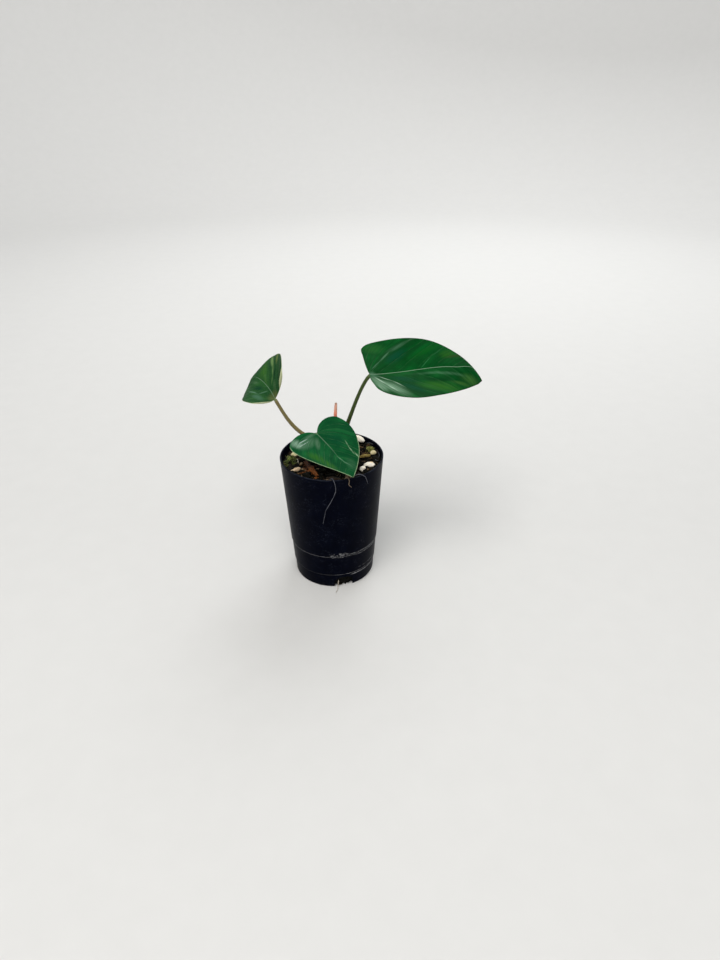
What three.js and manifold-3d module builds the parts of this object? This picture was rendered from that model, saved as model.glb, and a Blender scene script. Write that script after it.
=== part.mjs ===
// A young potted philodendron: three heart-shaped leaves and a rolled pink new leaf on a short
// stem, standing in coarse potting mix in a tall round nursery pot.
// Millimetres, +Z up. The origin is the middle of the pot's underside, X points to the right
// and Y to the back.

import * as THREE from 'three';
import { mergeVertices } from 'three/addons/utils/BufferGeometryUtils.js';
import { ConvexGeometry } from 'three/addons/geometries/ConvexGeometry.js';
import Module from 'manifold-3d';

const wasm = await Module();
wasm.setup();

// Driving dimensions of the pot
const POT = {
  height: 98,
  rimRadius: 37.5,
  footRadius: 30,
  wall: 1.2,
  floor: 1.5,
  stepHeights: [11.5, 29.3],
  stepDepth: 0.4,
  footChamfer: 0.8,
  rimInset: 0.24,
  segments: 60,
};
const NOTCH = {
  count: 3, firstAngle: -75, width: 14, straight: 4.5, arch: 4.5, archSteps: 6,
  innerRadius: 24, outerRadius: 35, below: 1,
};

// Clearance between pieces that touch, and how close two corners count as one
const GAP = 0.3;
const SAME_CORNER = 1e-4;

// Potting mix: level at the middle, its slope, and the crumbs on it
const MIX = { level: 92.6, slopeX: 0.035, slopeY: 0.03, rings: 15, mound: 1.2, coverBottom: 49 };
const CRUMBS = { count: 120, smallest: 2.4, largest: 5.2, lowest: 0.5, highest: 2.1, seed: 11 };

// Short stem that the leaves grow from
const STEM = {
  path: [[0.5, 8, 72], [1, 8.2, 84], [1.6, 8.6, 93], [2, 9, 99]],
  radii: [2.6, 3.6, 4.1, 2.4],
  sides: 12,
  steps: 12,
};

// Leaf blades. A blade is a flat heart-shaped outline in leaf lengths, folded along its midrib,
// curled across and bent along its length, then turned and set at the end of its stalk.
// Angles are in degrees: fold lifts a half from the midrib, foldGrowth adds to it towards the
// tip and foldTip only close to it, curl rolls the half across, cup rolls the base up, bend
// drops the blade along the midrib.
const BLADE = {
  thickness: 0.6, ribDepth: 1.1, ribWidth: 1.6, rings: 8, samples: 2,
  midribSteps: 24, cupReach: 0.5, cupLimit: 1.6, nearby: 0.002,
};
const OUTLINE = {
  tip: [[0, 1], [0.045, 0.93], [0.17, 0.76]],
  side: [[0.3, 0.55], [0.385, 0.3], [0.4, 0.08]],
  lobe: [[0.345, -0.1], [0.235, -0.185], [0.115, -0.165], [0.035, -0.075], [0, 0]],
};
const LEAVES = {
  right: {
    attach: [27.5, 8.1, 156.3], length: 86.7, width: 1.08, lobe: 0.1, wider: 0.013, deeper: 0.15,
    tipFullnessRight: 1.17, tipFullnessLeft: 0.94,
    foldRight: 20.8, foldLeft: -3.4, foldGrowthRight: -25.9, foldGrowthLeft: 0.6,
    foldTipRight: -7.8, foldTipLeft: -21.8,
    curlRight: 26, curlLeft: 9.2, cup: -16.9, bend: -39.7, tipBend: 94.4, twist: -16.5,
    bow: -0.038, yaw: 11, pitch: -9.5, roll: -18.6,
  },
  left: {
    attach: [-39.9, 15, 135.2], length: 56.7, width: 1.05, lobe: 0.15, wider: 0.07, deeper: -0.28,
    tipFullnessRight: 1, tipFullnessLeft: 1,
    foldRight: 34.2, foldLeft: 30.7, foldGrowthRight: -43, foldGrowthLeft: -62.5,
    foldTipRight: 0, foldTipLeft: 0,
    curlRight: -9.2, curlLeft: -16.5, cup: 72.8, bend: 28.3, tipBend: 73.9, twist: 5.9,
    bow: 0.09, yaw: 132.6, pitch: 12.1, roll: 32.5,
  },
  front: {
    attach: [-9.9, -1.9, 115.6], length: 49.6, width: 1.13, lobe: 0.74, wider: 0.03, deeper: -0.03,
    tipFullnessRight: 1, tipFullnessLeft: 1,
    foldRight: 0.7, foldLeft: 7.9, foldGrowthRight: 12, foldGrowthLeft: 4,
    foldTipRight: 0, foldTipLeft: 0,
    curlRight: 14.3, curlLeft: -2.4, cup: -11, bend: -5.5, tipBend: -18.5, twist: 20.8,
    bow: -0.04, yaw: -54.9, pitch: -21.1, roll: -17.3,
  },
};

// Leaf stalks, from the stem up to the blade, with a wide clasping base
const STALKS = {
  right: {
    path: [[4.6, 9.8, 95], [7, 11, 101.3], [9.4, 11.8, 109.1], [11.9, 12, 117.4], [14.6, 11.6, 125.4],
      [17.9, 10.6, 135], [21.8, 9.4, 145], [25.4, 8.4, 152.8], [27.5, 8.1, 156.3]],
    radii: [2.5, 2, 1.6, 1.45, 1.35, 1.25, 1.2, 1.25, 1.3],
  },
  left: {
    path: [[-0.6, 8.8, 97], [-4.5, 8.8, 101], [-12, 8.8, 105.6], [-20.8, 9.4, 110], [-26, 10.8, 114],
      [-30.9, 12.2, 119.6], [-36, 13.6, 127.8], [-38.9, 14.6, 133], [-39.9, 15, 135.2]],
    radii: [2.5, 2, 1.6, 1.45, 1.4, 1.35, 1.3, 1.25, 1.2],
  },
  front: {
    path: [[0, 6.4, 96], [-2.4, 4.6, 100.5], [-5.4, 2.6, 106.5], [-8.3, 0.4, 112.2], [-9.9, -1.9, 115.6]],
    radii: [2.4, 1.9, 1.4, 1.2, 1.15],
  },
};
const STALK_SIDES = 9;
const SWEEP_STEPS = 2;

// Rolled new leaf, and the dry sheath that wraps its foot
const NEW_LEAF = {
  path: [[2.2, 9.4, 99.6], [2.4, 10, 107], [2.8, 11.2, 118], [3.1, 12.2, 127], [3.5, 13, 133]],
  radii: [1.4, 1.5, 1.35, 1.4, 1.2],
  sides: 9,
  steps: 12,
};
const SHEATH = {
  path: [[2.1, 9.2, 99.4], [2.4, 9.9, 104], [2.9, 10.8, 110], [3.4, 11.8, 116]],
  radii: [2.5, 2.6, 2.4, 2.1],
  thickness: 0.28,
  openAngle: 70,
  arcSteps: 8,
  steps: 8,
};

// Loose grains and chips on the mix: place, half sizes, turn about Z in degrees
const GRAINS = [
  { name: 'perlite_right_oval', at: [27.2, -10], half: [4.8, 2.7, 2.2], turn: 5, look: 'perlite' },
  { name: 'perlite_right_round', at: [22.5, -16.8], half: [2.35, 3, 2.5], turn: -20, look: 'perlite' },
  { name: 'perlite_back', at: [20.2, 25.3], half: [5, 3.2, 3.9], turn: -40, look: 'perlite' },
  { name: 'pebble_right_cream', at: [30.4, 5.6], half: [2.6, 2.4, 2.1], turn: 20, look: 'cream' },
  { name: 'chip_left_beige', at: [-24.8, -14.6], half: [4.2, 2, 1.3], turn: 24, look: 'beige' },
  { name: 'chip_left_cream', at: [-27.2, 6.6], half: [3.6, 2.6, 1.7], turn: -20, look: 'cream' },
  { name: 'bark_strip', at: [-14.4, -14.2], half: [13.2, 2.3, 1.3], turn: -64, look: 'rust' },
  { name: 'bark_right', at: [24.2, 1.6], half: [4.4, 2.4, 1.5], turn: 12, look: 'brown' },
  { name: 'bark_front', at: [2, -27], half: [5.6, 2, 1.2], turn: -16, look: 'brown' },
  { name: 'bark_back', at: [-14, 24], half: [6, 2.8, 1.6], turn: 30, look: 'brown' },
  { name: 'bark_back_right', at: [6, 27], half: [4.4, 2.4, 1.5], turn: -10, look: 'brown' },
  { name: 'moss_right', at: [28, 11.6], half: [2.8, 2.5, 2], turn: 40, look: 'moss' },
  { name: 'moss_left', at: [-29.6, -4.2], half: [3.6, 6.6, 1.8], turn: 8, look: 'moss' },
];
const GRAIN_POINTS = 22;
const GRAIN_ROUGHNESS = 0.22;
const GRAIN_LIFT = 0.3;
const GRAIN_SEED = 31;

// Fine roots over the rim: points as angle in degrees, distance from the pot's axis, height
const ROOT_RADIUS = 0.36;
const ROOT_SIDES = 5;
const ROOTS = {
  root_thread_long: [[-92, 33, 94.6], [-90, 35.4, 97.6], [-87.6, 37, 99.2], [-85.6, 38.5, 97.2],
    [-84.3, 38.1, 91.3], [-86, 37.8, 86.5], [-90.7, 37.3, 79.5], [-95.7, 36.8, 72.9],
    [-97.4, 36.5, 67.6], [-99.4, 36.2, 61.6]],
  root_thread_short: [[-74, 33, 94.6], [-73, 35.4, 97.8], [-71.4, 37, 99.3], [-70.2, 38.5, 97.4],
    [-70.4, 38.2, 94], [-67.5, 38.1, 91.3]],
  root_curl: [[-66, 33, 94.6], [-63, 35.4, 98], [-57.5, 37.2, 99.6], [-52.4, 38.7, 97.4],
    [-49.6, 38.3, 94], [-47, 38, 89.8]],
  root_notch: [[-83, 29.6, 5.6], [-83.6, 30.8, 4], [-84.4, 32.2, 1.6], [-85.4, 34.4, 0.8], [-87, 38, 0.8]],
};

const LOOKS = {
  pot: { color: 0x0d0f14, roughness: 0.38, metalness: 0 },
  mix: { color: 0x1d1712, roughness: 0.95, metalness: 0 },
  stem: { color: 0x3f4a22, roughness: 0.6, metalness: 0 },
  stalk: { color: 0x475222, roughness: 0.5, metalness: 0 },
  blade: { color: 0x12562b, roughness: 0.42, metalness: 0 },
  newLeaf: { color: 0xe0746a, roughness: 0.45, metalness: 0 },
  sheath: { color: 0x7a5a34, roughness: 0.8, metalness: 0 },
  perlite: { color: 0xe8e2d8, roughness: 0.9, metalness: 0 },
  cream: { color: 0xc9b98c, roughness: 0.9, metalness: 0 },
  beige: { color: 0xb8a184, roughness: 0.9, metalness: 0 },
  rust: { color: 0x8a4a20, roughness: 0.9, metalness: 0 },
  brown: { color: 0x3d2618, roughness: 0.95, metalness: 0 },
  moss: { color: 0x6f7f2c, roughness: 0.95, metalness: 0 },
  root: { color: 0xb9b1a2, roughness: 0.8, metalness: 0 },
};

const { degToRad, clamp, lerp } = THREE.MathUtils;
const vector = (point) => new THREE.Vector3(...point);

// Seeded random numbers in 0..1, the same on every run
function seededRandom(seed) {
  let state = seed;
  return () => {
    state = (state * 1664525 + 1013904223) % 4294967296;
    return state / 4294967296;
  };
}

// A closed mesh as a solid, for cutting and joining
function toSolid(geometry) {
  const bare = geometry.clone();
  bare.deleteAttribute('normal');
  bare.deleteAttribute('uv');
  const merged = mergeVertices(bare, SAME_CORNER);
  return new wasm.Manifold(new wasm.Mesh({
    numProp: 3,
    vertProperties: merged.attributes.position.array,
    triVerts: Uint32Array.from(merged.index.array),
  }));
}

// A solid back as a mesh geometry; of several bodies only the largest is kept
function toGeometry(solid) {
  const bodies = solid.decompose();
  const largest = bodies.reduce((best, body) => (body.volume() > best.volume() ? body : best));
  const mesh = largest.getMesh();
  const geometry = new THREE.BufferGeometry();
  geometry.setAttribute('position', new THREE.BufferAttribute(mesh.vertProperties.slice(), 3));
  geometry.setIndex(new THREE.BufferAttribute(mesh.triVerts.slice(), 1));
  geometry.computeVertexNormals();
  return geometry;
}

// Pot
function outerRadius(z) {
  const steps = POT.stepHeights.filter((height) => z > height).length * POT.stepDepth;
  const spread = POT.rimRadius - POT.footRadius - POT.stepHeights.length * POT.stepDepth;
  return POT.footRadius + steps + (spread * z) / POT.height;
}

function innerRadius(z) {
  const bottom = outerRadius(POT.floor) - POT.wall - POT.stepDepth / 2;
  return lerp(bottom, POT.rimRadius - POT.wall, (z - POT.floor) / (POT.height - POT.floor));
}

function lathe(profile) {
  const points = profile.map(([radius, z]) => new THREE.Vector2(radius, z));
  return new THREE.LatheGeometry(points, POT.segments).rotateX(Math.PI / 2);
}

function potGeometry() {
  const { height, wall, floor, footChamfer, stepDepth, rimInset } = POT;
  const profile = [[0, 0], [outerRadius(0) - footChamfer, 0], [outerRadius(footChamfer), footChamfer]];
  for (const step of POT.stepHeights) {
    profile.push([outerRadius(step), step], [outerRadius(step + stepDepth), step + stepDepth]);
  }
  profile.push([outerRadius(height), height - wall / 2], [outerRadius(height) - rimInset, height]);
  profile.push([innerRadius(height) + rimInset, height], [innerRadius(height - wall), height - wall]);
  profile.push([innerRadius(floor), floor], [0, floor]);
  let pot = toSolid(lathe(profile));
  for (let k = 0; k < NOTCH.count; k += 1) {
    pot = pot.subtract(toSolid(notchCutter(NOTCH.firstAngle + (360 / NOTCH.count) * k)));
  }
  return toGeometry(pot);
}

// Arched block that cuts one drainage notch out of the foot, at an angle about Z
function notchCutter(angle) {
  const half = NOTCH.width / 2;
  const arch = new THREE.Shape();
  arch.moveTo(-half, -NOTCH.below);
  arch.lineTo(half, -NOTCH.below);
  arch.lineTo(half, NOTCH.straight);
  arch.absellipse(0, NOTCH.straight, half, NOTCH.arch, 0, Math.PI, false);
  arch.closePath();
  const cutter = new THREE.ExtrudeGeometry(arch, {
    depth: NOTCH.outerRadius - NOTCH.innerRadius, bevelEnabled: false, curveSegments: NOTCH.archSteps,
  });
  cutter.rotateX(Math.PI / 2);
  cutter.translate(0, -NOTCH.innerRadius, 0);
  return cutter.rotateZ(degToRad(angle + 90));
}

// Potting mix: crumbs are seeded low pyramids, and the highest at a place gives its height
const crumbs = (() => {
  const random = seededRandom(CRUMBS.seed);
  return Array.from({ length: CRUMBS.count }, () => {
    const distance = Math.sqrt(random()) * innerRadius(MIX.level);
    const angle = random() * 2 * Math.PI;
    return {
      x: distance * Math.cos(angle),
      y: distance * Math.sin(angle),
      size: lerp(CRUMBS.smallest, CRUMBS.largest, random()),
      height: lerp(CRUMBS.lowest, CRUMBS.highest, random()),
    };
  });
})();

function mixHeight(x, y) {
  const fromMiddle = Math.hypot(x, y) / innerRadius(MIX.level);
  const base = MIX.level + MIX.slopeX * x + MIX.slopeY * y + MIX.mound * (1 - fromMiddle ** 2);
  const crumbHeight = crumbs.reduce((highest, crumb) => {
    const away = Math.hypot(x - crumb.x, y - crumb.y) / crumb.size;
    return Math.max(highest, crumb.height * (1 - away ** 2));
  }, 0);
  return base + crumbHeight;
}

// Closed plug: crumbly top, conical side, flat bottom
function plugGeometry({ lift, margin, bottom }) {
  const positions = [];
  const add = (x, y, z) => positions.push(x, y, z) / 3 - 1;
  const sectors = POT.segments;
  const rows = [];
  for (let ring = 1; ring <= MIX.rings; ring += 1) {
    rows.push(Array.from({ length: sectors }, (_, k) => {
      const angle = (2 * Math.PI * k) / sectors;
      const reach = innerRadius(MIX.level) * (ring / MIX.rings);
      const z = mixHeight(reach * Math.cos(angle), reach * Math.sin(angle)) + lift;
      const radius = ring === MIX.rings ? innerRadius(z) + margin : reach;
      return add(radius * Math.cos(angle), radius * Math.sin(angle), z);
    }));
  }
  rows.push(Array.from({ length: sectors }, (_, k) => {
    const angle = (2 * Math.PI * k) / sectors;
    const radius = innerRadius(bottom) + margin;
    return add(radius * Math.cos(angle), radius * Math.sin(angle), bottom);
  }));
  const top = add(0, 0, mixHeight(0, 0) + lift);
  const underside = add(0, 0, bottom);
  const index = [];
  for (let k = 0; k < sectors; k += 1) {
    const next = (k + 1) % sectors;
    index.push(top, rows[0][k], rows[0][next]);
    for (let row = 1; row < rows.length; row += 1) {
      index.push(rows[row - 1][k], rows[row][k], rows[row][next]);
      index.push(rows[row - 1][k], rows[row][next], rows[row - 1][next]);
    }
    index.push(underside, rows.at(-1)[next], rows.at(-1)[k]);
  }
  const geometry = new THREE.BufferGeometry();
  geometry.setAttribute('position', new THREE.Float32BufferAttribute(positions, 3));
  geometry.setIndex(index);
  return geometry;
}

// A section extruded along Z, then bent along a curve and drawn in to a radius at each point
function taperedSweep(path, radii, section, steps) {
  const curve = new THREE.CatmullRomCurve3(path.map(vector), false, 'centripetal');
  const frames = curve.computeFrenetFrames(steps, false);
  const geometry = new THREE.ExtrudeGeometry(section, {
    depth: 1, steps, bevelEnabled: false, curveSegments: 1,
  });
  const position = geometry.attributes.position;
  for (let k = 0; k < position.count; k += 1) {
    const along = Math.round(position.getZ(k) * steps);
    const share = (along / steps) * (radii.length - 1);
    const before = Math.min(Math.floor(share), radii.length - 2);
    const radius = lerp(radii[before], radii[before + 1], share - before);
    const point = curve.getPointAt(along / steps)
      .addScaledVector(frames.normals[along], position.getX(k) * radius)
      .addScaledVector(frames.binormals[along], position.getY(k) * radius);
    position.setXYZ(k, point.x, point.y, point.z);
  }
  return geometry;
}

function roundSection(sides) {
  const corners = Array.from({ length: sides }, (_, k) => {
    const angle = (2 * Math.PI * k) / sides;
    return new THREE.Vector2(Math.cos(angle), Math.sin(angle));
  });
  return new THREE.Shape(corners);
}

// C-shaped section of the sheath, open on one side
function sheathSection() {
  const half = degToRad(180 - SHEATH.openAngle);
  const arc = (radius, from, to) => Array.from({ length: SHEATH.arcSteps + 1 }, (_, k) => {
    const angle = lerp(from, to, k / SHEATH.arcSteps);
    return new THREE.Vector2(radius * Math.cos(angle), radius * Math.sin(angle));
  });
  return new THREE.Shape([...arc(1, -half, half), ...arc(1 - SHEATH.thickness, half, -half)]);
}

function stalkGeometry({ path, radii }, grow = 0) {
  const grown = radii.map((radius) => radius + grow);
  return taperedSweep(path, grown, roundSection(STALK_SIDES), (path.length - 1) * SWEEP_STEPS);
}

function stemGeometry(grow = 0) {
  const grown = STEM.radii.map((radius) => radius + grow);
  return taperedSweep(STEM.path, grown, roundSection(STEM.sides), STEM.steps);
}

function newLeafGeometry(grow = 0) {
  const grown = NEW_LEAF.radii.map((radius) => radius + grow);
  return taperedSweep(NEW_LEAF.path, grown, roundSection(NEW_LEAF.sides), NEW_LEAF.steps);
}

// Blade: half outline from the tip round to the notch between the lobes
function halfOutline(leaf, side) {
  const width = leaf.width * (1 + side * leaf.wider);
  const lobe = leaf.lobe * (1 + side * leaf.deeper);
  const fullness = side > 0 ? leaf.tipFullnessRight : leaf.tipFullnessLeft;
  const fuller = [1, fullness ** 4, fullness];
  const points = [
    ...OUTLINE.tip.map(([x, y], k) => new THREE.Vector3(x * width * fuller[k], y, 0)),
    ...OUTLINE.side.map(([x, y]) => new THREE.Vector3(x * width, y, 0)),
    ...OUTLINE.lobe.map(([x, y]) => new THREE.Vector3(x * width, y * lobe, 0)),
  ];
  const curve = new THREE.CatmullRomCurve3(points, false, 'catmullrom', 0.5);
  const last = points.length - 1;
  const spokes = (last - 1) * BLADE.samples;
  return Array.from({ length: spokes + 1 }, (_, k) => curve.getPoint(k / (last * BLADE.samples)));
}

// The midrib in its own plane: how far along, how high, and its slope at y leaf lengths
function midrib(leaf, y) {
  const slope = (at) => -degToRad(leaf.bend * at + leaf.tipBend * at * Math.abs(at) ** 3);
  const steps = BLADE.midribSteps;
  let along = 0;
  let up = 0;
  for (let k = 0; k < steps; k += 1) {
    const angle = slope((y * (k + 0.5)) / steps);
    along += (Math.cos(angle) * y) / steps;
    up += (Math.sin(angle) * y) / steps;
  }
  return { along: along * leaf.length, up: up * leaf.length, slope: slope(y) };
}

// A point of the flat outline, in leaf lengths, on the shaped blade, in millimetres
function bladePoint(leaf, x, y) {
  const right = x >= 0;
  const [atBase, growth, atTip] = right
    ? [leaf.foldRight, leaf.foldGrowthRight, leaf.foldTipRight]
    : [leaf.foldLeft, leaf.foldGrowthLeft, leaf.foldTipLeft];
  const fold = degToRad(atBase + growth * y + atTip * Math.max(y, 0) ** 4);
  const nearBase = clamp(1 - y / BLADE.cupReach, 0, BLADE.cupLimit);
  const curl = degToRad((right ? leaf.curlRight : leaf.curlLeft) + leaf.cup * nearBase) || 1e-6;
  const reach = Math.abs(x);
  let across = (Math.sin(fold + curl * reach) - Math.sin(fold)) / curl;
  let lifted = (Math.cos(fold) - Math.cos(fold + curl * reach)) / curl;
  across = (right ? across : -across) + leaf.bow * 4 * clamp(y, 0, 1) * (1 - clamp(y, 0, 1));
  const twist = degToRad(leaf.twist) * y;
  const sideways = (across * Math.cos(twist) - lifted * Math.sin(twist)) * leaf.length;
  lifted = (across * Math.sin(twist) + lifted * Math.cos(twist)) * leaf.length;
  const rib = midrib(leaf, y);
  const forward = rib.along - lifted * Math.sin(rib.slope);
  const upward = rib.up + lifted * Math.cos(rib.slope);
  const { across: ax, along: ay, up: az } = bladeAxes(leaf);
  return vector(leaf.attach)
    .addScaledVector(ax, sideways)
    .addScaledVector(ay, forward)
    .addScaledVector(az, upward);
}

// Directions across the blade, along its midrib and out of its upper face
function bladeAxes(leaf) {
  const [yaw, pitch, roll] = [leaf.yaw, leaf.pitch, leaf.roll].map(degToRad);
  const along = new THREE.Vector3(
    Math.cos(yaw) * Math.cos(pitch), Math.sin(yaw) * Math.cos(pitch), Math.sin(pitch),
  );
  const level = new THREE.Vector3(Math.sin(yaw), -Math.cos(yaw), 0);
  const upright = level.clone().cross(along);
  const across = level.clone().multiplyScalar(Math.cos(roll)).addScaledVector(upright, Math.sin(roll));
  const up = level.multiplyScalar(-Math.sin(roll)).addScaledVector(upright, Math.cos(roll));
  return { across, along, up };
}

function bladeNormal(leaf, x, y) {
  const { nearby } = BLADE;
  const across = bladePoint(leaf, x + nearby, y).sub(bladePoint(leaf, x - nearby, y));
  const along = bladePoint(leaf, x, y + nearby).sub(bladePoint(leaf, x, y - nearby));
  return across.cross(along).normalize();
}

// Both faces on the same spokes and rings, with the midrib standing out underneath
function bladeGeometry(leaf, grow = 0) {
  const rightHalf = halfOutline(leaf, 1);
  const leftHalf = halfOutline(leaf, -1).map(({ x, y }) => new THREE.Vector3(-x, y, 0));
  const spokes = [...rightHalf.slice(1).reverse(), ...leftHalf];
  const positions = [];
  const faces = [1, -1].map((face) => {
    const place = (x, y) => {
      const ribShape = Math.exp(-((x * leaf.length) ** 2) / BLADE.ribWidth ** 2);
      const rib = face < 0 ? BLADE.ribDepth * ribShape * clamp(1 - y, 0, 1) : 0;
      const point = bladePoint(leaf, x, y);
      point.addScaledVector(bladeNormal(leaf, x, y), face * (BLADE.thickness / 2 + grow + rib));
      return positions.push(point.x, point.y, point.z) / 3 - 1;
    };
    const middle = place(0, 0);
    const rings = Array.from({ length: BLADE.rings }, (_, ring) => {
      const share = (ring + 1) / BLADE.rings;
      return spokes.map(({ x, y }) => place(x * share, y * share));
    });
    return { middle, rings };
  });
  const index = [];
  const triangle = (a, b, c, flip) => (flip ? index.push(a, c, b) : index.push(a, b, c));
  faces.forEach(({ middle, rings }, side) => {
    for (let k = 0; k + 1 < spokes.length; k += 1) {
      triangle(middle, rings[0][k], rings[0][k + 1], side === 1);
      for (let ring = 1; ring < rings.length; ring += 1) {
        const [inner, outer] = [rings[ring - 1], rings[ring]];
        triangle(inner[k], outer[k], outer[k + 1], side === 1);
        triangle(inner[k], outer[k + 1], inner[k + 1], side === 1);
      }
    }
  });
  const border = ({ middle, rings }) => [
    middle,
    ...rings.map((ring) => ring[0]),
    ...rings.at(-1).slice(1, -1),
    ...rings.map((ring) => ring.at(-1)).reverse(),
  ];
  const [upper, lower] = faces.map(border);
  upper.forEach((corner, k) => {
    const next = (k + 1) % upper.length;
    index.push(corner, lower[k], lower[next], corner, lower[next], upper[next]);
  });
  const geometry = new THREE.BufferGeometry();
  geometry.setAttribute('position', new THREE.Float32BufferAttribute(positions, 3));
  geometry.setIndex(index);
  return geometry;
}

// Loose grain: a rough pebble or chip, its lower part cut to the mix that it sits on
function grainGeometry({ at: [x, y], half, turn }, seed, cover) {
  const random = seededRandom(seed);
  const golden = Math.PI * (3 - Math.sqrt(5));
  const points = Array.from({ length: GRAIN_POINTS }, (_, k) => {
    const height = 1 - (2 * (k + 0.5)) / GRAIN_POINTS;
    const around = Math.sqrt(1 - height ** 2);
    const size = 1 + GRAIN_ROUGHNESS * (random() - 0.5);
    return new THREE.Vector3(
      Math.cos(golden * k) * around, Math.sin(golden * k) * around, height,
    ).multiplyScalar(size).multiply(vector(half));
  });
  const grain = new ConvexGeometry(points).rotateZ(degToRad(turn));
  grain.translate(x, y, mixHeight(x, y) + half[2] * GRAIN_LIFT + GAP);
  return toGeometry(toSolid(grain).subtract(cover));
}

function rootGeometry(points) {
  const path = points.map(([angle, radius, z]) => [
    radius * Math.cos(degToRad(angle)), radius * Math.sin(degToRad(angle)), z,
  ]);
  const radii = path.map(() => ROOT_RADIUS);
  return taperedSweep(path, radii, roundSection(ROOT_SIDES), (path.length - 1) * SWEEP_STEPS);
}

// Assembly
const plant = new THREE.Group();

function addPiece(name, geometry, look) {
  const mesh = new THREE.Mesh(geometry, new THREE.MeshStandardMaterial(LOOKS[look]));
  mesh.name = name;
  plant.add(mesh);
}

const stem = toSolid(stemGeometry());
const stemRoom = toSolid(stemGeometry(GAP));
const plug = { lift: 0, margin: -GAP, bottom: POT.floor + GAP };
const cover = toSolid(plugGeometry({ lift: GAP, margin: GAP, bottom: MIX.coverBottom }));

addPiece('pot', potGeometry(), 'pot');
addPiece('potting_mix', toGeometry(toSolid(plugGeometry(plug)).subtract(stemRoom)), 'mix');
addPiece('stem', toGeometry(stem), 'stem');

// Each stalk keeps clear of the stem, the mix, its own blade and the stalks before it
let taken = stemRoom.add(cover);
for (const [side, stalk] of Object.entries(STALKS)) {
  const bladeRoom = toSolid(bladeGeometry(LEAVES[side], GAP));
  const body = toSolid(stalkGeometry(stalk)).subtract(taken).subtract(bladeRoom);
  addPiece(`leaf_stalk_${side}`, toGeometry(body), 'stalk');
  addPiece(`leaf_blade_${side}`, bladeGeometry(LEAVES[side]), 'blade');
  taken = taken.add(toSolid(stalkGeometry(stalk, GAP)));
}

addPiece('new_leaf', toGeometry(toSolid(newLeafGeometry()).subtract(taken)), 'newLeaf');
taken = taken.add(toSolid(newLeafGeometry(GAP)));
const sheath = toSolid(taperedSweep(SHEATH.path, SHEATH.radii, sheathSection(), SHEATH.steps));
addPiece('sheath', toGeometry(sheath.subtract(taken)), 'sheath');

GRAINS.forEach((grain, k) => {
  addPiece(grain.name, grainGeometry(grain, GRAIN_SEED + k, cover), grain.look);
});
for (const [name, points] of Object.entries(ROOTS)) {
  addPiece(name, rootGeometry(points), 'root');
}

export default plant;
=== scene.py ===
# %% [markdown]
# A young potted philodendron: three heart-shaped leaves and a rolled pink new leaf in coarse
# mix, in a tall black nursery pot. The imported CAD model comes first: it fixes where every
# piece is and how large it may be. Its box is kept for the size note at the end.

# %% Load the measured frame
import functools
import math

import bpy
import numpy as np
from mathutils import Matrix, Vector


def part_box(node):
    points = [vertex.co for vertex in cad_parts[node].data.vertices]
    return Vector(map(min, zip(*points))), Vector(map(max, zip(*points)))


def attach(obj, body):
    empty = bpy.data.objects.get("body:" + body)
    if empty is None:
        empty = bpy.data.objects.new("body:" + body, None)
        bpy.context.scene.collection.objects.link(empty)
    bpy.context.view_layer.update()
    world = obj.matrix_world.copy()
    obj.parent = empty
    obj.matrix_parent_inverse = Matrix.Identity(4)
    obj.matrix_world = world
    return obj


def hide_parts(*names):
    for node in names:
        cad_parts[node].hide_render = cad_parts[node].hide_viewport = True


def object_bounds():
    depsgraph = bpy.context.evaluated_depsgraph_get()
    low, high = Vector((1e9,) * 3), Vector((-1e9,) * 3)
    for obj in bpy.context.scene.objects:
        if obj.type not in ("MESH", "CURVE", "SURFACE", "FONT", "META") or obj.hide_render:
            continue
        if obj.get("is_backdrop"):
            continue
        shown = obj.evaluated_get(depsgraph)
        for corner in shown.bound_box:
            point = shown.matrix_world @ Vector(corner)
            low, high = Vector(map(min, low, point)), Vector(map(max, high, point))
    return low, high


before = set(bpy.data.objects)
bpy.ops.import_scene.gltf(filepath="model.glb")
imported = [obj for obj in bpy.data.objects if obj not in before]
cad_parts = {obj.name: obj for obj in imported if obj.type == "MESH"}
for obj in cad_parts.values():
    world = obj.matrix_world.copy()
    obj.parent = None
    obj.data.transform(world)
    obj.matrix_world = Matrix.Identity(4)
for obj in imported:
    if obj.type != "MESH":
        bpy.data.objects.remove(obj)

cad_low, cad_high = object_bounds()
print("nodes in the frame:", len(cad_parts))

# %% [markdown]
# Most pieces here are made from arrays of points instead of modifiers: a formula bends a grid of points, is
# easy to change and repeats exactly. The arrays are in millimetres, as in the CAD source. Every piece rides
# on the one body and may stand for a CAD node.

# %% From arrays to a piece
MM = 0.001


def new_object(name, data):
    made = bpy.data.objects.new(name, data)
    bpy.context.scene.collection.objects.link(made)
    return made


def make_piece(name, points, faces, material, slot, *nodes, numbers=None, uv=None):
    """A piece from points in mm and faces; numbers are values per point for its material."""
    mesh = bpy.data.meshes.new(name)
    mesh.from_pydata((np.asarray(points) * MM).tolist(), [], [list(face) for face in faces])
    for label, values in (numbers or {}).items():
        layer = mesh.attributes.new(label, "FLOAT", "POINT")
        layer.data.foreach_set("value", np.asarray(values, np.float32))
    if uv is not None:
        corner_point = np.empty(len(mesh.loops), np.int32)
        mesh.loops.foreach_get("vertex_index", corner_point)
        layer = mesh.uv_layers.new(name="flat")
        layer.data.foreach_set("uv", np.asarray(uv, np.float32)[corner_point].ravel())
    mesh.shade_smooth()
    mesh.materials.append(material)
    piece = new_object(name, mesh)
    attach(piece, "root")
    if nodes:
        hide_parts(*nodes)
    print(f"{name}: {len(mesh.polygons)} faces")
    return piece


# %% [markdown]
# Nothing on a plant is quite even. Smooth random lumps come from value noise: each corner of
# a grid of cells gets a fixed random number, and a point blends those around it. The same
# seed gives the same lumps on every run.

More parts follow.
